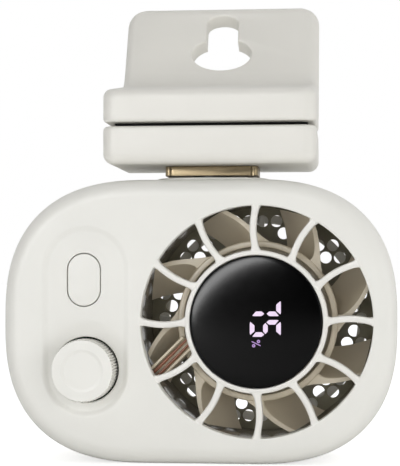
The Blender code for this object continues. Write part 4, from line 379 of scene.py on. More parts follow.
def pill_partner(ring, centre, half_width, half_run):
    """For each ring point, the point of an upright pill on the same ray, and its outward normal.

    The ray meets a straight side at half_width / |cos|, or else the end arc at
    run |sin| + sqrt(half_width^2 - run^2 cos^2).
    """
    ray = unit(ring - centre)
    across = np.abs(ray[:, 0])
    upward = np.abs(ray[:, 1])
    side = half_width / np.maximum(across, 1e-9)
    arc = half_run * upward + np.sqrt(np.maximum(half_width ** 2 - (half_run * across) ** 2, 0.0))
    reach = np.where(side * upward <= half_run, side, arc)
    local = ray * reach[:, None]
    hub = np.stack((np.zeros(len(ray)), np.clip(local[:, 1], -half_run, half_run)), axis=-1)
    return centre + local, (local - hub) / half_width


def pill_outline(half_width, half_run, steps, lying=False):
    """Points and normals of a pill: two half circles whose centres lie twice the half run apart."""
    angle = np.linspace(0.0, math.pi, steps)
    angles = np.concatenate((angle, angle + math.pi))
    normals = np.stack((np.cos(angles), np.sin(angles)), axis=-1)
    points = normals * half_width
    points[:, 1] += np.where(np.arange(2 * steps) < steps, half_run, -half_run)
    if lying:
        return points[:, ::-1] * (1, -1), normals[:, ::-1] * (1, -1)
    return points, normals


def corner_outline(x_low, x_high, y_low, y_high, radii, steps):
    """Points and normals of a rectangle with a round of its own at each corner.

    Radii go right-rear, left-rear, left-front, right-front.
    """
    radii = np.asarray(radii, dtype=float)
    centres = np.array(((x_high - radii[0], y_high - radii[0]), (x_low + radii[1], y_high - radii[1]),
                        (x_low + radii[2], y_low + radii[2]), (x_high - radii[3], y_low + radii[3])))
    quarter = np.linspace(0.0, math.pi / 2, steps + 1)
    angles = quarter[None, :] + (np.arange(4) * math.pi / 2)[:, None]
    normals = np.stack((np.cos(angles), np.sin(angles)), axis=-1)
    points = centres[:, None] + normals * radii[:, None, None]
    return points.reshape(-1, 2), normals.reshape(-1, 2)


def outward_normals(points):
    """Unit normals of a closed outline, square to the line between the neighbours of each point."""
    ahead = np.roll(points, -1, axis=0) - np.roll(points, 1, axis=0)
    return unit(np.stack((ahead[:, 1], -ahead[:, 0]), axis=-1))


def rounded_section(half, low, high, low_round, high_round, steps):
    """A rounded rectangle for every row, once round it by columns, as two coordinates (u, v).

    u = +-(half - round) + round cos a, v = high - round + round sin a in the upper half and
    low + round + round sin a in the lower one.
    """
    low, high, low_round, high_round = (np.broadcast_to(value, half.shape)[:, None]
                                        for value in (low, high, low_round, high_round))
    quarter = np.linspace(0.0, math.pi / 2, steps)
    turn = np.concatenate([quarter + corner * math.pi / 2 for corner in range(4)])
    side = np.repeat((1.0, -1.0, -1.0, 1.0), steps)
    upper = np.repeat((True, True, False, False), steps)
    rounds = np.where(upper, high_round, low_round)
    u = side * (half[:, None] - rounds) + rounds * np.cos(turn)
    v = np.where(upper, high - high_round, low + low_round) + rounds * np.sin(turn)
    return u, v


def quarter_round(start_inset, start_level, radius, rise, steps=12):
    """Profile points from a side over a quarter circle to a face on the side that rise points to."""
    turn = np.linspace(0.0, math.pi / 2, steps + 1)
    inset = start_inset + radius * (1 - np.cos(turn))
    level = start_level + math.copysign(radius, rise) * np.sin(turn)
    return np.stack((inset, level), axis=-1)


def soft_step(share):
    """Smooth rise from 0 to 1: s^2 (3 - 2 s)."""
    share = np.clip(share, 0.0, 1.0)
    return share * share * (3 - 2 * share)


def housing_outline(per_quarter=60, per_flat=26):
    """Points and normals of the housing: x = flat + 36.6 cos^0.8, z = flat + 35 sin^0.8 per corner."""
    turn = np.linspace(0.0, math.pi / 2, per_quarter + 1)
    across = np.clip(np.cos(turn), 0.0, 1.0) ** (2 / CORNER_POWER)
    upward = np.clip(np.sin(turn), 0.0, 1.0) ** (2 / CORNER_POWER)
    flat_x = BODY_HALF_WIDTH - CORNER_WIDTH
    flat_z = BODY_HALF_HEIGHT - CORNER_HEIGHT
    corner = np.stack((flat_x + CORNER_WIDTH * across, flat_z + CORNER_HEIGHT * upward), axis=-1)
    normal = unit(np.stack((across ** (CORNER_POWER - 1) / CORNER_WIDTH,
                            upward ** (CORNER_POWER - 1) / CORNER_HEIGHT), axis=-1))
    share = np.linspace(1.0, -1.0, per_flat + 2)[1:-1]
    top = np.stack((flat_x * share, np.full(per_flat, BODY_HALF_HEIGHT)), axis=-1)
    top_normal = np.tile((0.0, 1.0), (per_flat, 1))
    points = np.concatenate((corner, top, corner[::-1] * (-1, 1), corner * (-1, -1), top * (-1, -1),
                             corner[::-1] * (1, -1)))
    normals = np.concatenate((normal, top_normal, normal[::-1] * (-1, 1), normal * (-1, -1),
                              -top_normal, normal[::-1] * (1, -1)))
    return points + (0.0, BODY_CENTRE_Z), normals


def split_ring(ring, first_side, off_line, segments):
    """A ring cut in two by a straight line between the point nearest to it on either side.

    first_side marks the ring's points of the line's first end, off_line is their distance from it.
    """
    first = int(np.argmin(np.where(first_side, off_line, 1e9)))
    last = int(np.argmin(np.where(first_side, 1e9, off_line)))
    line = ring[first] + (ring[last] - ring[first]) * np.linspace(0.0, 1.0, segments + 1)[:, None]
    outer = np.concatenate((ring[last:], ring[:first + 1], line[1:-1]))
    middle = np.concatenate((ring[first:last + 1], line[::-1][1:-1]))
    return outer, middle


def front_level(plan):
    """Depth of the front face: a shallow pill-shaped track with soft sides and a bowl round the knob."""
    x = plan[..., 0] - TRACK_CENTRE[0]
    z = np.abs(plan[..., 1] - TRACK_CENTRE[1])
    away = np.hypot(x, np.maximum(z - TRACK_HALF_RUN, 0.0)) - TRACK_HALF_WIDTH
    inside = soft_step((TRACK_EASE - away) / (2 * TRACK_EASE))
    from_knob = np.hypot(plan[..., 0] - KNOB_CENTRE[0], plan[..., 1] - KNOB_CENTRE[1])
    bowl = BOWL_DEPTH * soft_step((BOWL_RADIUS - from_knob) / (BOWL_RADIUS - KNOB_HOLE_RADIUS - 0.2))
    return FRONT_Y + inside * (TRACK_DEPTH + bowl)


def hole_lip(hole, normals, level, depth, radius, steps=5):
    """Rounded edge and wall of a hole: radius (1 - sin a) out from the hole, radius (1 - cos a) deep."""
    turn = np.linspace(0.0, math.pi / 2, steps + 1)[:, None]
    plan = hole + normals * (radius * (1 - np.sin(turn)))[..., None]
    sign = math.copysign(1.0, depth - float(np.mean(level)))
    lip = lifted(plan, level + sign * radius * (1 - np.cos(turn)))
    return np.concatenate((lip, lifted(hole[None], depth)))


def half_shell(face_y, edge, parting_y):
    """One half of the housing but for the face behind or before the controls.

    A profile of inside, parting edge and rounded outside is carried round the outline; the face, outside
    and inside, is lofted from the ring where it starts to the round fan opening. Returns these sheets,
    the ring round the controls and the level of the face's inside.
    """
    points, normals = housing_outline()
    sign = math.copysign(1.0, face_y)
    start_y = face_y - sign * edge
    inner_y = face_y - sign * WALL
    inner = quarter_round(WALL, start_y, edge - WALL, sign, 6)[::-1]
    parting = np.array(((WALL, 0.4), (WALL, 0.0), (0.25, 0.0), (0.07, 0.07), (0.0, 0.25), (0.0, 0.4)))
    parting = parting * (1.0, sign) + (0.0, parting_y)
    profile = np.concatenate((inner, parting, quarter_round(0.0, start_y, edge, sign)))
    ring = points - normals * edge
    fan_ring, control_ring = split_ring(ring, ring[:, 1] > BODY_CENTRE_Z, np.abs(ring[:, 0] - SPLIT_X), 44)
    hole, out = circle_partner(fan_ring, FAN_CENTRE, OPENING_RADIUS)
    sheets = [carried(points, normals, profile),
              lifted(towards(fan_ring, hole + out * OPENING_LIP, FACE_SHARES), face_y),
              hole_lip(hole, out, face_y, inner_y, OPENING_LIP),
              lifted(towards(fan_ring, hole, FACE_SHARES), inner_y)]
    return sheets, control_ring, inner_y


def port_cutter():
    """The charging inlet's opening: an upright pill through the left wall, wider outside."""
    points, normals = pill_outline(PORT_HALF_WIDTH, PORT_HALF_RUN, 16)
    profile = np.array(((0.0, WALL + 1.0), (0.0, 0.35), (-0.35, -0.6))) - (0.0, BODY_HALF_WIDTH)
    body = carried(points + (PORT_Y, BODY_CENTRE_Z), normals, profile, "X")
    return surface("port_cutter", *with_ends(body, to_middle))


def front_cover():
    """Front half: the face lofted to the track's soft side, the track's floor to its two holes."""
    sheets, ring, inner_y = half_shell(FRONT_Y, FRONT_EDGE, PARTING_FRONT_Y)
    track, out = pill_partner(ring, TRACK_CENTRE, TRACK_HALF_WIDTH, TRACK_HALF_RUN)
    slope = track + out * np.linspace(TRACK_EASE, -TRACK_EASE, 9)[:, None, None]
    floor = slope[-1]
    sheets.append(lifted(towards(ring, slope[0], FACE_SHARES), FRONT_Y))
    sheets.append(lifted(slope, front_level(slope)))
    sheets.append(lifted(towards(ring, floor, (0.0, 0.5, 1.0)), inner_y))
    left_side = floor[:, 0] < TRACK_CENTRE[0]
    above, below = split_ring(floor, left_side, np.abs(floor[:, 1] - TRACK_SPLIT_Z), 18)
    button = pill_partner(above, BUTTON_CENTRE, BUTTON_HALF_WIDTH + BUTTON_GAP, BUTTON_HALF_RUN)
    knob = circle_partner(below, KNOB_CENTRE, KNOB_HOLE_RADIUS)
    for region, (hole, out), lip in ((above, button, BUTTON_LIP), (below, knob, KNOB_LIP)):
        plan = towards(region, hole + out * lip, np.linspace(0.0, 1.0, 19))
        sheets.append(lifted(plan, front_level(plan)))
        sheets.append(hole_lip(hole, out, front_level(plan[-1]), inner_y, lip))
        sheets.append(lifted(towards(region, hole, (0.0, 0.5, 1.0)), inner_y))
    return carve(surface("front_cover_shell", *sheets), port_cutter())


def rear_cover():
    """Rear half: closed behind the controls, with a round recess for each screw."""
    sheets, ring, inner_y = half_shell(BACK_Y, BACK_EDGE, PARTING_BACK_Y)
    sheets += [capped(ring, level, centre=TRACK_CENTRE) for level in (BACK_Y, inner_y)]
    cover = surface("rear_cover_shell", *sheets)
    radius = SCREW_HEAD_RADIUS
    profile = np.array(((0.0, BACK_Y + 1.0), (radius + 0.3, BACK_Y + 1.0), (radius + 0.3, BACK_Y),
                        (radius, BACK_Y - 0.3), (radius, inner_y - 1.0), (0.0, inner_y - 1.0)))
    return carve(cover, *[surface("screw_cutter", turned(profile, place, 32)) for place in SCREW_PLACES])


def screw_sleeves():
    """Sleeves that the screw heads sit in, one closed ring each inside the rear cover."""
    head = SCREW_HEAD_RADIUS
    shank = 0.95
    profile = eased(((head, BACK_Y - 0.6), (head + 0.6, BACK_Y - 0.6), (head + 0.6, 7.4), (shank, 7.4),
                     (shank, 8.6), (head, 8.6)), 0.08, 2)
    return surface("screw_sleeves", *[closed(turned(profile, place, 32)) for place in SCREW_PLACES])


def bowed_rib(number, start, rear_y, hub_flare, steps=36):
    """A rounded bar from the hub to the rim along a bowed ray, wider where it runs into either.

    Centre line: radius along the ray, bow sin(pi s) across it. Half width: the plain one plus two
    falling exponentials, one from each end. Its two ends close to their middle points.
    """
    share = 0.5 - 0.5 * np.cos(np.linspace(0.0, math.pi, steps))
    radius = start + (RIB_END - start) * share
    half = RIB_HALF_WIDTH + hub_flare * np.exp(-(radius - start - 0.6) / 0.55)
    half = half + RIM_FLARE * np.exp(-(RIB_END - radius) / 0.55)
    u, level = rounded_section(half, RIB_FRONT_Y, rear_y, 0.5, 0.25, 5)
    angle = math.radians(90 + 360 / RIB_COUNT * number)
    along = np.array((math.cos(angle), math.sin(angle)))
    off = RIB_BOW * np.sin(math.pi * share)[:, None] + u
    x = FAN_CENTRE[0] + radius[:, None] * along[0] - off * along[1]
    z = FAN_CENTRE[1] + radius[:, None] * along[1] + off * along[0]
    body = placed(x, z, level)
    first, last = to_middle(body[0])[1:], to_middle(body[-1])[1:]
    return np.concatenate((first, body, last))


def front_grille():
    """Hub ring, twelve bowed ribs and the rim behind the cover."""
    front_y = FRONT_Y - 0.02
    hub = eased(((HUB_RADIUS, -9.5), (HUB_RADIUS, front_y), (LENS_BORE, front_y), (LENS_BORE, -15.5),
                 (LENS_BORE + 0.2, -15.2), (LENS_BORE + 0.2, -9.5)), (0.1, 0.55, 0.35, 0.05, 0.05, 0.1), 6)
    rim = eased(((RIM_RADIUS, -14.7), (RIM_INNER_RADIUS, -14.7), (RIM_INNER_RADIUS, -13.2),
                 (RIM_RADIUS, -13.2)), 0.15, 2)
    rings = [closed(turned(profile, FAN_CENTRE, 144)) for profile in (hub, rim)]
    ribs = [bowed_rib(number, HUB_RADIUS - 0.5, -13.4, 0.42) for number in range(RIB_COUNT)]
    return surface("front_guard", *rings, *ribs, crease=50.0)


def rear_grille():
    """The motor's carrier: a hub disc, twelve bowed ribs, two round bars and the rim inside the cover."""
    hub = eased(((0.0, 16.9), (12.0, 16.9), (12.0, 14.1), (6.0, 14.1), (6.0, 8.0), (0.0, 8.0)),
                (0.0, 0.8, 0.2, 0.3, 0.2, 0.0), 6)
    rim = eased(((RIM_RADIUS, 13.2), (RIM_INNER_RADIUS, 13.2), (RIM_INNER_RADIUS, 14.7),
                 (RIM_RADIUS, 14.7)), 0.15, 2)
    bar = eased(((-1.2, 14.82), (1.2, 14.82), (1.2, 16.42), (-1.2, 16.42)), (0.25, 0.25, 0.6, 0.6), 4)
    rings = [closed(turned(profile, FAN_CENTRE, 144))
             for profile in (rim, bar + (19.48, 0.0), bar + (26.96, 0.0))]
    ribs = [bowed_rib(number, 11.4, -14.0, 0.5) * (1, -1, 1) for number in range(RIB_COUNT)]
    return surface("rear_guard", turned(hub, FAN_CENTRE, 96), *rings, *ribs, crease=50.0)


def fan_duct():
    """Gloss ring wall round the blades: a rounded oblong section carried round the fan's axis."""
    corners = ((DUCT_RADIUS, DUCT_FRONT_Y), (DUCT_OUTER_RADIUS, DUCT_FRONT_Y),
               (DUCT_OUTER_RADIUS, DUCT_REAR_Y), (DUCT_RADIUS, DUCT_REAR_Y))
    return surface("duct_ring", closed(turned(eased(corners, (0.5, 0.2, 0.2, 0.5), 5), FAN_CENTRE, 160)))


def rear_mesh():
    """Flat plate turned round the fan's axis, less a band of round holes near its rim.

    Hole centres: x = pitch (column + half a step in odd rows), z = pitch sqrt(3)/2 row. A hole is a
    tenth of a millimetre wider at both faces.
    """
    front, back = MESH_FRONT_Y, MESH_REAR_Y
    corners = ((MESH_BORE, front), (RIM_RADIUS, front), (RIM_RADIUS, back), (MESH_BORE, back))
    plate = surface("rear_mesh_plate", closed(turned(eased(corners, 0.08, 2), FAN_CENTRE, 160)))
    numbers = np.arange(-10, 11)
    column, row = np.meshgrid(numbers, numbers, indexing="ij")
    x = ((column + (row % 2) / 2) * MESH_PITCH).ravel()
    z = (row * MESH_PITCH * math.sqrt(0.75)).ravel()
    reach = np.hypot(x, z)
    keep = (reach >= DUCT_RADIUS - MESH_BAND) & (reach <= RIM_RADIUS - MESH_HOLE - 0.8)
    wide = MESH_HOLE + 0.1
    profile = np.array(((0.0, front - 0.4), (wide, front - 0.4), (wide, front), (MESH_HOLE, front + 0.1),
                        (MESH_HOLE, back - 0.1), (wide, back), (wide, back + 0.4), (0.0, back + 0.4)))
    places = np.column_stack((x[keep], z[keep])) + FAN_CENTRE
    holes = surface("rear_mesh_holes", *[turned(profile, place, 28) for place in places])
    return carve(plate, holes, crease=30.0)


def dome_level(radius):
    """Front of the lens: a flat middle that falls away to a round edge, edge - rise (1 - r^2.4)^0.8."""
    share = np.clip(radius / LENS_RADIUS, 0.0, 1.0)
    return DOME_EDGE_Y - DOME_RISE * (1 - share ** 2.4) ** 0.8


def display_lens():
    """The dome's profile carried round the fan's axis, with a flat back."""
    radius = LENS_RADIUS * np.sin(np.linspace(0.0, math.pi / 2, 44))
    front = np.stack((radius, dome_level(radius)), axis=-1)
    back = np.array(((LENS_RADIUS, DOME_EDGE_Y + 0.05), (LENS_RADIUS, LENS_BACK_Y - 0.1),
                     (LENS_RADIUS - 0.1, LENS_BACK_Y), (0.0, LENS_BACK_Y)))
    return surface("lens_dome", turned(np.concatenate((front, back)), FAN_CENTRE, 128), crease=60.0)


def on_dome(x, z, height):
    """Plan places as points that stand a height before the dome."""
    return placed(x, z, dome_level(np.hypot(x - FAN_CENTRE[0], z - FAN_CENTRE[1])) - height)


def light_bar(segment, corner):
    """One bar of a figure laid on the dome, cut slanting at its corner ends and pointed at the others.

    Ends: half the length less 0.38 (1 - w) at a corner or 0.5 |w| at a point, w from -1 inside to 1
    outside; the width falls by 0.22 |2 s - 1|^8 along it. The figure stands a quarter turn clockwise:
    its right is down and its top to the right.
    """
    middle_x, middle_y, length, upright, outward, ends = SEGMENTS[segment]
    w = np.linspace(-1.0, 1.0, 5)[:, None]
    share = np.linspace(0.0, 1.0, 13)[None]
    cuts = {"corner": 0.38 * (1 - w), "point": 0.5 * np.abs(w)}
    low = cuts[ends[0]] - length / 2
    high = length / 2 - cuts[ends[1]]
    u = low + (high - low) * share
    v = outward * w * STROKE / 2 * (1 - 0.22 * np.abs(2 * share - 1) ** 8)
    right, top = (v, u) if upright else (u, v)
    face = on_dome(corner[0] + middle_y + top, corner[1] - middle_x - right, LIT_PROUD)
    rear = face + (0.0, 0.04, 0.0)
    sides = [np.stack((face[i], rear[i])) for i in (0, -1)]
    sides += [np.stack((face[:, i], rear[:, i])) for i in (0, -1)]
    return [(sheet, False, False) for sheet in (face, rear, *sides)]


def display_figures():
    """The read-out: a 7 and a 5, lit bars just proud of the lens."""
    bars = [light_bar(segment, corner) for figure, corner in FIGURES for segment in figure]
    return surface("display_figures", *[sheet for bar in bars for sheet in bar], crease=30.0)


def ring_on_dome(x, z, steps=18):
    """A small flat ring laid on the dome, between the radii 0.12 and 0.42."""
    turn = np.linspace(0.0, 2 * math.pi, steps, endpoint=False)
    reach = np.array((0.12, 0.42))[:, None]
    face = on_dome(x + reach * np.cos(turn), z + reach * np.sin(turn), LIT_PROUD)
    rear = face + (0.0, 0.04, 0.0)
    return closed(np.stack((face[0], face[1], rear[1], rear[0])))


def display_percent():
    """The percent sign, a quarter turn clockwise as the figures are: two rings and a slanting bar."""
    share = np.linspace(-1.0, 1.0, 9)[:, None]
    side = np.array((-0.11, 0.11))
    face = on_dome(PERCENT_MIDDLE[0] + PERCENT_RUN[0] * share + side * 0.42,
                   PERCENT_MIDDLE[1] + PERCENT_RUN[1] * share + side, 2 * LIT_PROUD)
    rear = face + (0.0, 0.06, 0.0)
    bar = np.stack((face[:, 0], face[:, 1], rear[:, 1], rear[:, 0]), axis=1)
    rings = [ring_on_dome(*place) for place in PERCENT_RINGS]
    return surface("display_percent", *rings, *with_ends(bar, to_middle), crease=30.0)


def blade(number, rows=30):
    """One blade: root to tip by rows, once round its section by columns.

    Angle = start + 22 deg s + (27 - 10 s) deg d, y = -9.5 + 13 d + 1.2 sin(pi d), with s the share of
    the radius and d the share of the depth. The skin lies to either side by 0.6 plus 0.25 e^(-d / 0.1)
    plus a web of 1.6 e^(-(r - 20.5) / 1.3) e^(-d / 0.16) at the foot. It ends in a flat front edge.
    """
    s = np.linspace(0.0, 1.0, rows)[:, None]
    rise = np.concatenate((np.zeros(7), (0.006, 0.02), np.linspace(0.05, 0.97, 20), (0.99, 1.0)))
    side = np.concatenate((np.linspace(0.0, 0.86, 7), (0.95, 1.0), np.ones(20), (0.7, 0.0)))
    d = np.concatenate((rise, rise[::-1][1:-1]))[None]
    across = np.concatenate((side, -side[::-1][1:-1]))[None]
    radius = BLADE_ROOT + (BLADE_TIP - BLADE_ROOT) * s
    start = math.radians(-4.5 + 360 / BLADE_COUNT * number)
    swing = start + math.radians(22) * s + np.radians(27 - 10 * s) * d
    half = 0.6 + 0.25 * np.exp(-d / 0.1)
    half = half + 1.6 * np.exp(-np.maximum(radius - 20.5, 0.0) / 1.3) * np.exp(-d / 0.16)
    tangent = half * across
    level = -9.5 + 13.0 * d + 1.2 * np.sin(math.pi * d)
    x = FAN_CENTRE[0] + radius * np.cos(swing) - tangent * np.sin(swing)
    z = FAN_CENTRE[1] + radius * np.sin(swing) + tangent * np.cos(swing)
    return with_ends(placed(x, z, level), to_fold)


def impeller():
    """Cup hub with a web and a motor socket, and eight swept blades."""
    cup = eased(((20.5, 6.0), (20.5, -10.0), (18.9, -10.0), (18.9, -7.0), (3.2, -7.0), (3.2, -7.8),
                 (1.15, -7.8), (1.15, -5.2), (12.8, -5.2), (12.8, 2.5), (13.9, 2.5), (13.9, -4.7),
                 (18.9, -4.7), (18.9, 6.0)),
                (0.2, 0.6, 0.35, 0.4, 0.2, 0.15, 0.1, 0.1, 0.2, 0.1, 0.1, 0.2, 0.3, 0.15), 4)
    blades = [sheet for number in range(BLADE_COUNT) for sheet in blade(number)]
    return surface("impeller_moulding", closed(turned(cup, FAN_CENTRE, 128)), *blades, crease=34.0)


def lead_channel():
    """A trough section carried along the straight line from the hub ring to the duct."""
    inner_angle, outer_angle = math.radians(196), math.radians(208)
    inner = FAN_CENTRE + HUB_RADIUS * np.array((math.cos(inner_angle), math.sin(inner_angle)))
    outer = FAN_CENTRE + DUCT_RADIUS * np.array((math.cos(outer_angle), math.sin(outer_angle)))
    length = float(np.linalg.norm(outer - inner))
    along = (outer - inner) / length
    half, wall, front_y, floor_y, rear_y = 2.05, 0.7, -13.0, -11.2, -10.5
    section = eased(((-half, front_y), (-half, rear_y), (half, rear_y), (half, front_y),
                     (half - wall, front_y), (half - wall, floor_y), (wall - half, floor_y),
                     (wall - half, front_y)), (0.25, 0.3, 0.3, 0.25, 0.25, 0.35, 0.35, 0.25), 4)
    station = np.linspace(0.45, length - 0.35, 14)[:, None]
    x = inner[0] + along[0] * station - along[1] * section[:, 0]
    z = inner[1] + along[1] * station + along[0] * section[:, 0]
    return surface("channel_trough", *with_ends(placed(x, z, section[:, 1]), to_fold))


def speed_knob():
    """Knob with a milled side: radius = 7.9 - 0.55 (1/2 - 1/2 cos(66 a))^1.3, fading at both edges."""
    dish_y = KNOB_FRONT_Y + 0.22
    corners = ((0.0, KNOB_REAR_Y), (7.3, KNOB_REAR_Y), (KNOB_RADIUS, -13.6), (KNOB_RADIUS, KNOB_FRONT_Y),
               (5.3, KNOB_FRONT_Y), (4.6, dish_y), (0.0, dish_y))
    profile = eased(corners, (0.0, 0.2, 0.2, 0.45, 0.5, 0.5, 0.0), 10)
    side = np.stack((np.full(6, KNOB_RADIUS), np.linspace(-14.0, -21.4, 6)), axis=-1)
    start = int(np.argmax(profile[:, 1] < -14.0))
    profile = np.concatenate((profile[:start], side, profile[start:]))
    angle = np.linspace(0.0, 2 * math.pi, KNOB_RIDGES * 8, endpoint=False)
    wave = (0.5 - 0.5 * np.cos(KNOB_RIDGES * angle)) ** 1.3
    off_front = np.clip((profile[:, :1] - 7.6) / 0.25, 0.0, 1.0)
    off_rear = np.clip((-13.5 - profile[:, 1:]) / 0.2, 0.0, 1.0)
    radius = profile[:, :1] - RIDGE_DEPTH * off_front * off_rear * wave
    return surface("knob_cap", placed(KNOB_CENTRE[0] + radius * np.cos(angle),
                                      KNOB_CENTRE[1] + radius * np.sin(angle), profile[:, 1:]), crease=32.0)


def power_button():
    """Pill cap with a soft front edge and a retaining flange under the cover."""
    points, normals = pill_outline(BUTTON_HALF_WIDTH, BUTTON_HALF_RUN, 40)
    corners = ((BUTTON_HALF_WIDTH, -16.85), (0.0, -16.85), (0.0, -14.2), (-0.9, -14.2), (-0.9, -13.4),
               (BUTTON_HALF_WIDTH, -13.4))
    profile = eased(corners, (0.0, 0.3, 0.1, 0.1, 0.1, 0.0), 6)
    return surface("button_cap", carried(points + BUTTON_CENTRE, normals, profile))


def plain_plate(name, points, normals, low, high, edge):
    """A level plate of any outline with rounded edges, closed at its middle."""
    inset = edge + 0.3
    profile = eased(((inset, low), (0.0, low), (0.0, high), (inset, high)), (0.0, edge, edge, 0.0), 6)
    ring = points - normals * inset
    return surface(name, carried(points, normals, profile, "Z"), capped(ring, low, "Z"),
                   capped(ring, high, "Z"))


def swivel_base():
    """Lying pill-shaped plate on the housing's top."""
    points, normals = pill_outline(8.5, 6.25, 40, lying=True)
    return plain_plate("swivel_plate", points + (CLIP_X, 0.0), normals, BASE_LOW_Z, BASE_HIGH_Z, 0.28)


def swivel_block():
    """Metal block with rounded ends and an upright groove near each end, front and rear.

    A quarter of the outline is mirrored into the other three; both flat faces run to the middle line.
    """
    half_length, half_width, groove = 12.1, 5.5, 0.6
    outer = half_length - 1.5 + groove / 2
    inner = outer - groove
    low, high, chamfer = BLOCK_LOW_Z, BLOCK_HIGH_Z, 0.12
    quarter = np.array(((half_length, 0.0), (half_length, half_width), (outer, half_width),
                        (outer, half_width - groove), (inner, half_width - groove), (inner, half_width)))
    corners = np.concatenate((quarter, quarter[::-1] * (-1, 1), quarter[1:] * (-1, -1),
                              quarter[::-1][:-1] * (1, -1)))
    rounds = np.array((0.0, 1.3, 0.15, 0.12, 0.12, 0.15))
    outline = eased(corners, np.concatenate((rounds, rounds[::-1], rounds[1:], rounds[::-1][:-1])), 5)
    outline = outline[np.linalg.norm(outline - np.roll(outline, 1, axis=0), axis=1) > 1e-4]
    normals = outward_normals(outline)
    outline = outline + (CLIP_X, 0.0)
    profile = np.array(((chamfer, low), (0.03, low + 0.03), (0.0, low + chamfer),
                        (0.0, high - chamfer), (0.03, high - 0.03), (chamfer, high)))
    ring = outline - normals * chamfer
    middle = np.stack((np.clip(ring[:, 0], CLIP_X - 9.0, CLIP_X + 9.0), np.zeros(len(ring))), axis=-1)
    face = towards(ring, middle, (0.0, 0.04, 1.0))
    return surface("swivel_bar", carried(outline, normals, profile, "Z"), lifted(face, low, "Z"),
                   lifted(face, high, "Z"), crease=32.0)


def block(low, high):
    """Sheets of a plain box between two corners."""
    ring = np.array(((low[0], low[1]), (high[0], low[1]), (high[0], high[1]), (low[0], high[1])), float)
    return with_ends(np.stack([np.column_stack((ring, np.full(4, z))) for z in (low[2], high[2])]), to_middle)


def leant(sheet, degrees):
    """Points counted from the hinge, leant back about its axis: y cos + z sin, z cos - y sin."""
    lean = math.radians(degrees)
    y, z = sheet[..., 1], sheet[..., 2]
    return np.stack((sheet[..., 0], y * math.cos(lean) + z * math.sin(lean) + HINGE[0],
                     z * math.cos(lean) - y * math.sin(lean) + HINGE[1]), axis=-1)


def cross_bar(name, radius, start, end, steps=64, edge=0.0):
    """Round bar on the hinge's axis, from start to end measured from the clip's middle."""
    corners = ((0.0, CLIP_X + start), (radius, CLIP_X + start), (radius, CLIP_X + end), (0.0, CLIP_X + end))
    return surface(name, turned(eased(corners, (0.0, edge, edge, 0.0), 4), HINGE, steps, "X"))


def bar_pair(name, radius, start, end, edge=0.0):
    """Two round bars on the hinge's axis, one to either side of the clip's middle."""
    return [cross_bar(name, radius, *sorted((side * start, side * end)), edge=edge) for side in (-1, 1)]


def pad_plate(name, low, grow=0.0, thickness=PAD_THICKNESS, edge=0.25):
    """Oblong plate with round corners, the outline of a pad or, grown on all sides, of its recess."""
    points, normals = corner_outline(CLIP_X - PAD_HALF_WIDTH - grow, CLIP_X + PAD_HALF_WIDTH + grow,
                                     PAD_FRONT_Y - grow, PAD_REAR_Y + grow, np.full(4, PAD_CORNER + grow), 8)
    return plain_plate(name, points, normals, low, low + thickness, edge)


def lower_jaw():
    """Jaw body carried round a rounded rectangle, hollowed for pad, spring and pin, with two hinge ears."""
    low_edge, high_edge = 2.7, 1.0
    points, normals = corner_outline(CLIP_X - JAW_HALF_WIDTH, CLIP_X + JAW_HALF_WIDTH, JAW_FRONT_Y,
                                     JAW_BACK_Y, (2.6, 2.6, 3.5, 3.5), 14)
    profile = np.concatenate((((low_edge + 0.05, LOWER_Z),),
                              quarter_round(0.0, LOWER_Z + low_edge, low_edge, -1)[::-1],
                              quarter_round(0.0, GAP_LOW_Z - high_edge, high_edge, 1)))
    jaw = surface("lower_jaw_moulding", carried(points, normals, profile, "Z"),
                  capped(points - normals * (low_edge + 0.05), LOWER_Z, "Z"),
                  capped(points - normals * high_edge, GAP_LOW_Z, "Z"))
    bay = surface("bay", *block((CLIP_X - BAY_HALF_WIDTH, BAY_FRONT_Y, HINGE[1] - 4.0),
                                (CLIP_X + BAY_HALF_WIDTH, 40.0, 95.0)))
    reliefs = bar_pair("relief", KNUCKLE_RADIUS + HINGE_RELIEF, KNUCKLE_START - HINGE_GAP,
                       KNUCKLE_END + HINGE_GAP)
    recess = pad_plate("recess", GAP_LOW_Z + PAD_PROUD - 1.5, PAD_CLEARANCE, 3.1, 0.02)
    carve(jaw, bay, *reliefs, recess)
    behind = block((CLIP_X - JAW_HALF_WIDTH - 2.0, -0.19, 0.15), (CLIP_X + JAW_HALF_WIDTH + 2.0, 30.0, 30.0))
    carve(jaw, surface("slope", *[leant(sheet, REAR_SLOPE) for sheet in behind]))
    ears = bar_pair("ear", KNUCKLE_RADIUS, EAR_INNER, EAR_END, 0.25)
    webs = [surface("web", *block((CLIP_X + low, HINGE[0] - 2.55, 79.0),
                                  (CLIP_X + high, HINGE[0] + 2.55, HINGE[1])))
            for low, high in ((EAR_INNER + 0.1, EAR_END - 0.1), (-EAR_END + 0.1, -EAR_INNER - 0.1))]
    carve(jaw, *ears, *webs, joining=True)
    return carve(jaw, cross_bar("pin_way", PIN_WAY_RADIUS, -EAR_END - 0.5, EAR_END + 0.5, 32))


def bent_path(start, corner, end, radius, count=42):
    """Points evenly spaced along two straight stretches joined by an arc."""
    first = (corner - start) / np.linalg.norm(corner - start)
    second = (end - corner) / np.linalg.norm(end - corner)
    turn = math.acos(float(np.clip(first @ second, -1.0, 1.0)))
    reach = radius * math.tan(turn / 2)
    head = np.linalg.norm(corner - start) - reach
    tail = np.linalg.norm(end - corner) - reach
    inward = second - first * (first @ second)
    inward /= np.linalg.norm(inward)
    centre = corner - first * reach + inward * radius
    s = np.linspace(0.0, head + radius * turn + tail, count)[:, None]
    angle = np.clip((s - head) / radius, 0.0, turn)
    straight = start + first * s
    arc = centre - inward * radius * np.cos(angle) + first * radius * np.sin(angle)
    rest = corner + second * (reach + s - head - radius * turn)
    return np.where(s < head, straight, np.where(s < head + radius * turn, arc, rest))


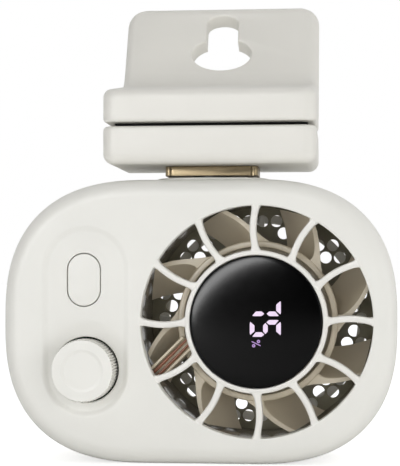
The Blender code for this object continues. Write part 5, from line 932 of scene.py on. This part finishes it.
def quarter_drop(distance, radius):
    """How far a quarter-round edge lies inside its face at a distance from the end."""
    distance = np.minimum(distance, radius)
    return radius - np.sqrt(np.maximum(radius ** 2 - (radius - distance) ** 2, 0.0))


def jaw_stations():
    """Side view as pairs of points: jaw top with jaw bottom, then handle front with handle rear.

    Returns both rows of points, the half width at each pair and a blend from 0 in the jaw to 1 in the
    handle. Nose and tip follow quarter rounds, in the side view and in the width.
    """
    inner_end = HANDLE_FOOT + LEAN * HANDLE_BEND
    outer_end = inner_end + OUTWARD * HANDLE_THICKNESS
    outer_corner = outer_end - LEAN * ((outer_end[1] - GAP_HIGH_Z) / LEAN[1])
    inner_start = JAW_TOP_FRONT + SLOPE * ((7.0 - JAW_FRONT_Y) / SLOPE[0])
    outer_start = np.array((11.0, GAP_HIGH_Z))
    nose = JAW_NOSE * (1 - np.cos(np.linspace(0.0, math.pi / 2, 15)))
    top_nose = JAW_TOP_FRONT + SLOPE * (nose / SLOPE[0])[:, None]
    top_nose[:, 1] -= quarter_drop(nose, 2.2)
    bottom_nose = np.stack((JAW_FRONT_Y + nose, GAP_HIGH_Z + quarter_drop(nose, 1.0)), axis=-1)
    inner = bent_path(inner_start, HANDLE_FOOT, inner_end, HANDLE_BEND)
    outer = bent_path(outer_start, outer_corner, outer_end, 4.0)
    tip = HANDLE_CORNER * np.cos(np.linspace(0.0, math.pi / 2, 18))
    shrink = OUTWARD * (quarter_drop(tip, 2.4) * 0.96)[:, None]
    rise = LEAN * (HANDLE_LENGTH - HANDLE_BEND - tip)[:, None]
    top = np.concatenate((top_nose, inner, inner_end + rise + shrink))
    bottom = np.concatenate((bottom_nose, outer, outer_end + rise - shrink))
    inset = np.concatenate((quarter_drop(nose, JAW_NOSE), np.zeros(len(inner)),
                            quarter_drop(tip, HANDLE_CORNER)))
    blend = np.concatenate((np.zeros(len(nose)), np.linspace(0.0, 1.0, len(inner)), np.ones(len(tip))))
    return top, bottom, JAW_HALF_WIDTH - inset, blend


def keyhole_outline():
    """Wide oval with an arched slot above it: part of an ellipse, two straight sides, half an ellipse."""
    meet = math.acos(SLOT_HALF_WIDTH / LOBE_HALF_WIDTH)
    turn = np.linspace(math.pi - meet, 2 * math.pi + meet, 60)
    lobe = np.stack((LOBE_HALF_WIDTH * np.cos(turn), LOBE_HALF_HEIGHT * np.sin(turn)), axis=-1)
    turn = np.linspace(0.0, math.pi, 30)
    arch = np.stack((SLOT_HALF_WIDTH * np.cos(turn), SLOT_RISE + SLOT_ARCH * np.sin(turn)), axis=-1)
    share = np.linspace(0.0, 1.0, 6)[1:-1, None]
    right = lobe[-1] + (arch[0] - lobe[-1]) * share
    left = arch[-1] + (lobe[0] - arch[-1]) * share
    return np.concatenate((lobe, right, arch, left))


def keyhole_cutter():
    """The keyhole carried square through the handle, wider by a quarter round at both faces."""
    points = keyhole_outline()
    edge = 0.55
    front = np.concatenate((((edge + 0.25, -0.1),), quarter_round(0.0, edge, edge, -1, 5)[::-1][1:]))
    rear = np.stack((front[::-1, 0], HANDLE_THICKNESS - front[::-1, 1]), axis=-1)
    profile = np.concatenate((front, rear))
    grown = points + outward_normals(points) * profile[:, :1, None]
    middle = HANDLE_FOOT + LEAN * KEYHOLE_HEIGHT
    y = middle[0] + LEAN[0] * grown[..., 1] + OUTWARD[0] * profile[:, 1:]
    z = middle[1] + LEAN[1] * grown[..., 1] + OUTWARD[1] * profile[:, 1:]
    return surface("keyhole", *with_ends(np.stack((CLIP_X + grown[..., 0], y, z), axis=-1), to_middle))


def upper_jaw():
    """Rounded rectangles across the clip, lofted along the side view, then hollowed as the solid is."""
    top, bottom, half, blend = jaw_stations()
    height = np.linalg.norm(top - bottom, axis=1)
    up = unit(top - bottom)
    top_round = np.minimum(2.2 + 0.2 * blend, height * 0.49)
    bottom_round = np.minimum(1.0 + 1.4 * blend, height * 0.49)
    u, v = rounded_section(half, -height / 2, height / 2, bottom_round, top_round, 9)
    middle = (top + bottom) / 2
    body = np.stack((CLIP_X + u, middle[:, :1] + up[:, :1] * v, middle[:, 1:] + up[:, 1:] * v), axis=-1)
    jaw = surface("upper_jaw_moulding", *with_ends(body, to_middle))
    relief = cross_bar("relief", KNUCKLE_RADIUS + HINGE_RELIEF, HINGE_GAP - KNUCKLE_START,
                       KNUCKLE_START - HINGE_GAP)
    bay = surface("bay", *block((CLIP_X - BAY_HALF_WIDTH, BAY_FRONT_Y, 80.0),
                                (CLIP_X + BAY_HALF_WIDTH, 27.5, HINGE[1] + 4.0)))
    carve(jaw, relief, bay)
    carve(jaw, *bar_pair("knuckle", KNUCKLE_RADIUS, KNUCKLE_START, KNUCKLE_END, 0.25), joining=True)
    pin_way = cross_bar("pin_way", PIN_WAY_RADIUS, -KNUCKLE_END - 0.5, KNUCKLE_END + 0.5, 32)
    recess = pad_plate("recess", GAP_HIGH_Z - 2.0, PAD_CLEARANCE, 3.1, 0.02)
    return carve(jaw, pin_way, keyhole_cutter(), recess)


def hinge_pin():
    """Steel rod through ears and knuckles."""
    return cross_bar("hinge_rod", PIN_RADIUS, -PIN_HALF_LENGTH, PIN_HALF_LENGTH, 32, 0.2)


def finished_solid(node, edge, crease=35.0):
    """A merged copy of a solid, its edges eased by a bevel of this width, or all of it by a subdivision."""
    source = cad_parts[node]
    mesh = source.data.copy()
    mesh.transform(source.matrix_world)
    work = bmesh.new()
    work.from_mesh(mesh)
    bmesh.ops.remove_doubles(work, verts=work.verts, dist=2e-6)
    bmesh.ops.dissolve_limit(work, angle_limit=math.radians(0.5), verts=work.verts, edges=work.edges)
    work.to_mesh(mesh)
    work.free()
    smooth_shaded(mesh, crease)
    thing = linked(node + "_finish", mesh)
    if edge:
        bevel = thing.modifiers.new("eased edges", "BEVEL")
        bevel.width = edge * MM
        bevel.segments = 2
        bevel.limit_method = "ANGLE"
        bevel.angle_limit = math.radians(crease)
        bevel.harden_normals = True
    else:
        smooth = thing.modifiers.new("round", "SUBSURF")
        smooth.levels = 1
        smooth.render_levels = 1
    return thing


def begin_finish(name, colour, roughness, metallic=0.0, specular=0.5, coat=0.0):
    """A material with its even values set on the shader, and the piece's own coordinates at hand."""
    material = bpy.data.materials.new(name)
    material.use_nodes = True
    tree = material.node_tree
    shader = tree.nodes["Principled BSDF"]
    values = {"Base Color": (*colour, 1.0), "Roughness": roughness, "Metallic": metallic,
              "Specular IOR Level": specular, "Coat Weight": coat, "Coat Roughness": 0.1}
    for socket, value in values.items():
        shader.inputs[socket].default_value = value
    material.diffuse_color = (*colour, 1.0)
    return material, tree, shader, tree.nodes.new("ShaderNodeTexCoord")


def add(tree, kind, values, links, **settings):
    """A new node with its settings, the values of its sockets and the links into them."""
    made = tree.nodes.new("ShaderNode" + kind)
    for setting, value in settings.items():
        setattr(made, setting, value)
    for socket, value in values.items():
        made.inputs[socket].default_value = value
    for socket, source in links.items():
        tree.links.new(source, made.inputs[socket])
    return made


def noise(tree, place, scale, detail=3.0, stretch=(1.0, 1.0, 1.0)):
    """Fractal noise on the piece's own coordinates, scale in cells per metre."""
    mapping = add(tree, "Mapping", {"Scale": stretch}, {"Vector": place.outputs["Object"]})
    values = {"Scale": scale, "Detail": detail}
    return add(tree, "TexNoise", values, {"Vector": mapping.outputs["Vector"]}).outputs["Fac"]


def between(tree, factor, low, high, value_low=0.3, value_high=0.7):
    """Maps a noise value to a range of plain numbers."""
    values = {"From Min": value_low, "From Max": value_high, "To Min": low, "To Max": high}
    return add(tree, "MapRange", values, {"Value": factor}).outputs["Result"]


def tinted(tree, factor, first, second, socket):
    """A colour mixed from two near tints, led into a socket of the shader."""
    values = {6: (*first, 1.0), 7: (*second, 1.0)}
    mix = add(tree, "Mix", values, {0: factor}, data_type="RGBA")
    tree.links.new(mix.outputs[2], socket)


def grain(tree, shader, height, depth):
    """Surface relief of the given depth in metres."""
    bump = add(tree, "Bump", {"Distance": depth, "Strength": 1.0}, {"Height": height})
    tree.links.new(bump.outputs["Normal"], shader.inputs["Normal"])


def shade(colour, factor):
    """A colour times a factor, at most 1."""
    return tuple(min(value * factor, 1.0) for value in colour)


def moulded(name, colour, roughness, spread=0.02, cell=2600.0, depth=6e-6, specular=0.45, coat=0.0,
            uneven=0.05):
    """Moulded plastic: faint flow tint, uneven sheen and fine spark-eroded grain."""
    material, tree, shader, place = begin_finish(name, colour, roughness, specular=specular, coat=coat)
    flow = between(tree, noise(tree, place, 38.0, 2.0), 0.0, 1.0)
    tinted(tree, flow, shade(colour, 1 - spread), shade(colour, 1 + spread), shader.inputs["Base Color"])
    sheen = between(tree, noise(tree, place, 420.0), roughness - uneven, roughness + uneven)
    tree.links.new(sheen, shader.inputs["Roughness"])
    grain(tree, shader, noise(tree, place, cell, 2.0), depth)
    return material


def brushed(name, colour, roughness, stretch, cell=900.0):
    """Metal with fine lines drawn along one axis, from noise squeezed across them."""
    material, tree, shader, place = begin_finish(name, colour, roughness, metallic=1.0)
    lines = noise(tree, place, cell, 4.0, stretch)
    flow = between(tree, lines, 0.0, 1.0)
    tinted(tree, flow, shade(colour, 0.88), shade(colour, 1.08), shader.inputs["Base Color"])
    tree.links.new(between(tree, lines, roughness - 0.07, roughness + 0.1), shader.inputs["Roughness"])
    grain(tree, shader, lines, 4e-6)
    return material


def lit(name, colour, strength):
    """Glowing bar of the read-out, a little uneven as the light spreads inside it."""
    material, tree, shader, place = begin_finish(name, (0.02, 0.015, 0.02), 0.25)
    flow = between(tree, noise(tree, place, 900.0, 2.0), 0.0, 1.0)
    tinted(tree, flow, colour, shade(colour, 0.9), shader.inputs["Emission Color"])
    shader.inputs["Emission Strength"].default_value = strength
    return material


def circuit_board():
    """Green solder mask over faint copper tracks, from the edges of scattered cells."""
    green, copper = (0.012, 0.07, 0.03), (0.06, 0.16, 0.05)
    material, tree, shader, place = begin_finish("board_solder_mask", green, 0.35, coat=0.4)
    cells = add(tree, "TexVoronoi", {"Scale": 420.0}, {"Vector": place.outputs["Object"]},
                feature="DISTANCE_TO_EDGE")
    tracks = between(tree, cells.outputs["Distance"], 0.0, 1.0, 0.04, 0.09)
    tinted(tree, tracks, copper, green, shader.inputs["Base Color"])
    grain(tree, shader, noise(tree, place, 1500.0, 2.0), 8e-6)
    return material


def srgb(r, g, b):
    """A picture colour, 0 to 255, as the linear values that a shader takes."""
    value = np.array((r, g, b)) / 255.0
    return tuple(np.where(value <= 0.04045, value / 12.92, ((value + 0.055) / 1.055) ** 2.4).tolist())


cover_white = moulded("cover_warm_white", srgb(229, 228, 222), 0.5, specular=0.38)
guard_white = moulded("guard_warm_white", srgb(231, 229, 223), 0.46, specular=0.38)
clip_white = moulded("clip_warm_white", srgb(228, 226, 219), 0.5, specular=0.38)
knob_white = moulded("knob_warm_white", srgb(230, 229, 223), 0.48, specular=0.38)
blade_beige = moulded("blade_beige", srgb(206, 195, 173), 0.42, 0.04)
channel_beige = moulded("channel_beige", srgb(205, 193, 168), 0.42, 0.04)
duct_brown = moulded("duct_gloss_brown", srgb(150, 142, 132), 0.16, 0.08, 900.0, 2e-6, 0.6, 0.5)
mesh_paint = moulded("mesh_olive_paint", srgb(156, 150, 126), 0.38, 0.08, 2400.0, 1e-5)
lens_gloss = moulded("lens_black_gloss", (0.0008, 0.0008, 0.0009), 0.2, 0.2, 300.0, 1e-7, 0.14, uneven=0.01)
black_moulding = moulded("black_moulding", (0.016, 0.016, 0.017), 0.5, 0.1)
pad_rubber = moulded("pad_black_rubber", (0.012, 0.012, 0.012), 0.75, 0.15, 3400.0, 2e-5, 0.3)
champagne = brushed("champagne_metal", srgb(166, 150, 121), 0.34, (0.08, 1.0, 1.0))
steel = brushed("turned_steel", (0.56, 0.56, 0.57), 0.3, (1.0, 0.15, 1.0))
brass = brushed("sintered_brass", (0.55, 0.39, 0.17), 0.38, (1.0, 1.0, 1.0), 2400.0)
magnet = brushed("ferrite_grey", (0.09, 0.09, 0.095), 0.55, (1.0, 1.0, 1.0), 1800.0)
spring_wire = brushed("spring_wire", (0.44, 0.43, 0.42), 0.28, (0.2, 1.0, 1.0), 2200.0)
cell_wrap = moulded("cell_blue_wrap", (0.03, 0.09, 0.24), 0.28, 0.1, 500.0, 1.5e-5)
lead_brown = moulded("lead_brown", srgb(142, 88, 60), 0.36, 0.08, 1600.0, 5e-6)
lead_red = moulded("lead_red", (0.38, 0.03, 0.02), 0.4, 0.08, 1600.0, 5e-6)
lead_black = moulded("lead_black", (0.015, 0.015, 0.015), 0.4, 0.08, 1600.0, 5e-6)
module_white = moulded("module_white", (0.55, 0.55, 0.54), 0.5, 0.05)
figure_glow = lit("figure_glow", srgb(246, 226, 252), 1.0)
percent_glow = lit("percent_glow", srgb(196, 158, 226), 0.8)
board_mask = circuit_board()

dress(front_cover(), cover_white, "housing", "front_cover")
dress(rear_cover(), cover_white, "housing", "rear_cover")
dress(screw_sleeves(), cover_white, "housing")
dress(front_grille(), guard_white, "housing", "front_grille")
dress(rear_grille(), guard_white, "housing", "rear_grille")
dress(fan_duct(), duct_brown, "housing", "fan_duct")
dress(rear_mesh(), mesh_paint, "housing", "rear_mesh")
dress(display_lens(), lens_gloss, "housing", "display_lens")
dress(display_figures(), figure_glow, "housing")
dress(display_percent(), percent_glow, "housing")
dress(impeller(), blade_beige, "fan_rotor", "impeller")
dress(lead_channel(), channel_beige, "housing", "lead_channel")
dress(speed_knob(), knob_white, "knob", "speed_knob")
dress(power_button(), knob_white, "button", "power_button")
dress(swivel_base(), cover_white, "housing", "swivel_base")
dress(swivel_block(), champagne, "clip_base", "swivel_block")
dress(lower_jaw(), clip_white, "clip_base", "lower_jaw")
dress(upper_jaw(), clip_white, "clip_jaw", "upper_jaw")
dress(pad_plate("lower_pad_rubber", GAP_LOW_Z + PAD_PROUD - PAD_THICKNESS), pad_rubber, "clip_base",
      "lower_pad")
dress(pad_plate("upper_pad_rubber", GAP_HIGH_Z - PAD_PROUD), pad_rubber, "clip_jaw", "upper_pad")
dress(hinge_pin(), steel, "clip_base", "hinge_pin")

# Solids that keep their form: node, moving body, finish and the width of its eased edges. Where that is
# zero, the facets are rounded instead.
SOLIDS = (
    ("display_cup", "housing", black_moulding, 0.15), ("display_board", "housing", board_mask, 0.1),
    ("display_module", "housing", module_white, 0.15), ("motor_base", "housing", black_moulding, 0.12),
    ("motor_board", "housing", board_mask, 0.1), ("motor_stator", "housing", magnet, 0.06),
    ("front_bearing", "housing", brass, 0.1), ("rear_bearing", "housing", brass, 0.1),
    ("rotor_can", "fan_rotor", steel, 0.12), ("magnet_ring", "fan_rotor", magnet, 0.1),
    ("motor_shaft", "fan_rotor", steel, 0.12), ("main_board", "housing", board_mask, 0.15),
    ("power_switch", "housing", black_moulding, 0.15), ("knob_encoder", "housing", black_moulding, 0.15),
    ("encoder_shaft", "knob", steel, 0.15), ("charge_port", "housing", steel, 0.08),
    ("port_tongue", "housing", black_moulding, 0.08), ("battery_cell", "housing", cell_wrap, 0.2),
    ("swivel_nut", "housing", steel, 0.12), ("swivel_washer", "clip_base", black_moulding, 0.05),
    ("swivel_post", "clip_base", steel, 0.15), ("case_screw_1", "housing", steel, 0.1),
    ("case_screw_2", "housing", steel, 0.1), ("case_screw_3", "housing", steel, 0.1),
    ("case_screw_4", "housing", steel, 0.1), ("display_lead_1", "housing", lead_brown, 0.0),
    ("display_lead_2", "housing", lead_brown, 0.0), ("motor_lead_1", "housing", lead_red, 0.0),
    ("motor_lead_2", "housing", lead_black, 0.0), ("battery_lead_1", "housing", lead_red, 0.0),
    ("battery_lead_2", "housing", lead_black, 0.0))
for node, body, finish, edge in SOLIDS:
    dress(finished_solid(node, edge), finish, body, node)


def torsion_spring():
    """The wound spring with its finish, fixed where it stands; its lower leg lies on the lower jaw and its
    upper leg on the upper jaw.
    """
    spring = painted(finished_solid("clip_spring", 0.0), spring_wire)
    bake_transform(spring)
    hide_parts("clip_spring")


def pale_set():
    """Pale floor: a plain diffuse coat, lifted to white where the camera looks at it."""
    material, tree, shader, place = begin_finish("floor_pale", (0.84, 0.84, 0.835), 0.6, specular=0.2)
    path = tree.nodes.new("ShaderNodeLightPath")
    shader.inputs["Emission Color"].default_value = (1.0, 1.0, 1.0, 1.0)
    lift = between(tree, path.outputs["Is Camera Ray"], 0.0, FLOOR_LIFT, 0.0, 1.0)
    tree.links.new(lift, shader.inputs["Emission Strength"])
    tinted(tree, between(tree, noise(tree, place, 6.0, 2.0), 0.0, 1.0), (0.83, 0.83, 0.825),
           (0.85, 0.85, 0.845), shader.inputs["Base Color"])
    mesh = bpy.data.meshes.new("floor")
    reach = 6.0
    corners = [(-reach, -reach, 0.0), (reach, -reach, 0.0), (reach, reach, 0.0), (-reach, reach, 0.0)]
    mesh.from_pydata(corners, [], [(0, 1, 2, 3)])
    mesh.materials.append(material)
    linked("floor", mesh)


def room():
    """World light: white where the camera sees it, for the object a grey that grows from front to rear."""
    world = bpy.data.worlds.new("pale room")
    world.use_nodes = True
    tree = world.node_tree
    background = tree.nodes["Background"]
    background.inputs["Color"].default_value = (1.0, 1.0, 1.0, 1.0)
    path = tree.nodes.new("ShaderNodeLightPath")
    place = tree.nodes.new("ShaderNodeTexCoord")
    split = add(tree, "SeparateXYZ", {}, {"Vector": place.outputs["Generated"]})
    grey = between(tree, split.outputs["Y"], ROOM_FRONT, ROOM_REAR, -0.65, 0.1)
    seen = add(tree, "Mix", {3: 1.0}, {0: path.outputs["Is Camera Ray"], 2: grey}, data_type="FLOAT")
    tree.links.new(seen.outputs[0], background.inputs["Strength"])
    bpy.context.scene.world = world


def softbox(name, place, aim, size, watts, glossy=True, diffuse=True, roll=0.0):
    """Oblong area lamp at a place, in metres, turned to face the aim point and rolled about that line."""
    data = bpy.data.lights.new(name, "AREA")
    data.shape = "RECTANGLE"
    data.size, data.size_y = size
    data.energy = watts
    lamp = linked(name, data)
    heading = (Vector(aim) - Vector(place)).to_track_quat("-Z", "Y")
    lamp.location = place
    lamp.rotation_euler = (heading @ Quaternion((0.0, 0.0, 1.0), math.radians(roll))).to_euler()
    lamp.visible_glossy = glossy
    lamp.visible_diffuse = diffuse
    lamp.visible_camera = False


def eye():
    """Long lens in front of the housing, a little to the right of its middle and above it."""
    lens = bpy.data.cameras.new("eye")
    lens.sensor_width = 36.0
    lens.lens = 105.125
    lens.shift_x = -0.05
    lens.shift_y = 0.05
    lens.clip_start = 0.01
    camera = linked("eye", lens)
    camera.location = (0.03577, -0.35659, 0.0477)
    camera.rotation_euler = (math.radians(90.791), 0.0, math.radians(4.921))
    bpy.context.scene.camera = camera
    bpy.context.scene.view_settings.view_transform = "Standard"


torsion_spring()
pale_set()
room()
softbox("front_fill", (0.1, -1.2, 0.15), (0.0, 0.0, 0.05), (1.4, 0.8), 0.2, glossy=False)
softbox("right_side", (0.98, -0.46, 0.08), (0.0, 0.0, 0.04), (0.8, 0.8), 4.2)
softbox("upper_left", (-0.41, -0.94, 0.455), (0.0, 0.0, 0.05), (0.8, 0.5), 0.94, glossy=False, roll=40)
softbox("lens_card", (-0.362, -0.985, 0.395), (0.015, -0.017, 0.036), (1.0, 0.22), 19.0, diffuse=False,
        roll=40)
softbox("low_card", (0.02, -0.30, 0.004), (0.0, -0.05, 0.09), (0.8, 0.3), 1.08, glossy=False)
softbox("floor_strip", (0.0, -0.1, 0.014), (0.0, 0.0, 0.008), (0.24, 0.028), 0.014, glossy=False)
softbox("top", (0.05, -0.05, 0.95), (0.0, 0.0, 0.05), (0.9, 0.9), 1.35)
eye()
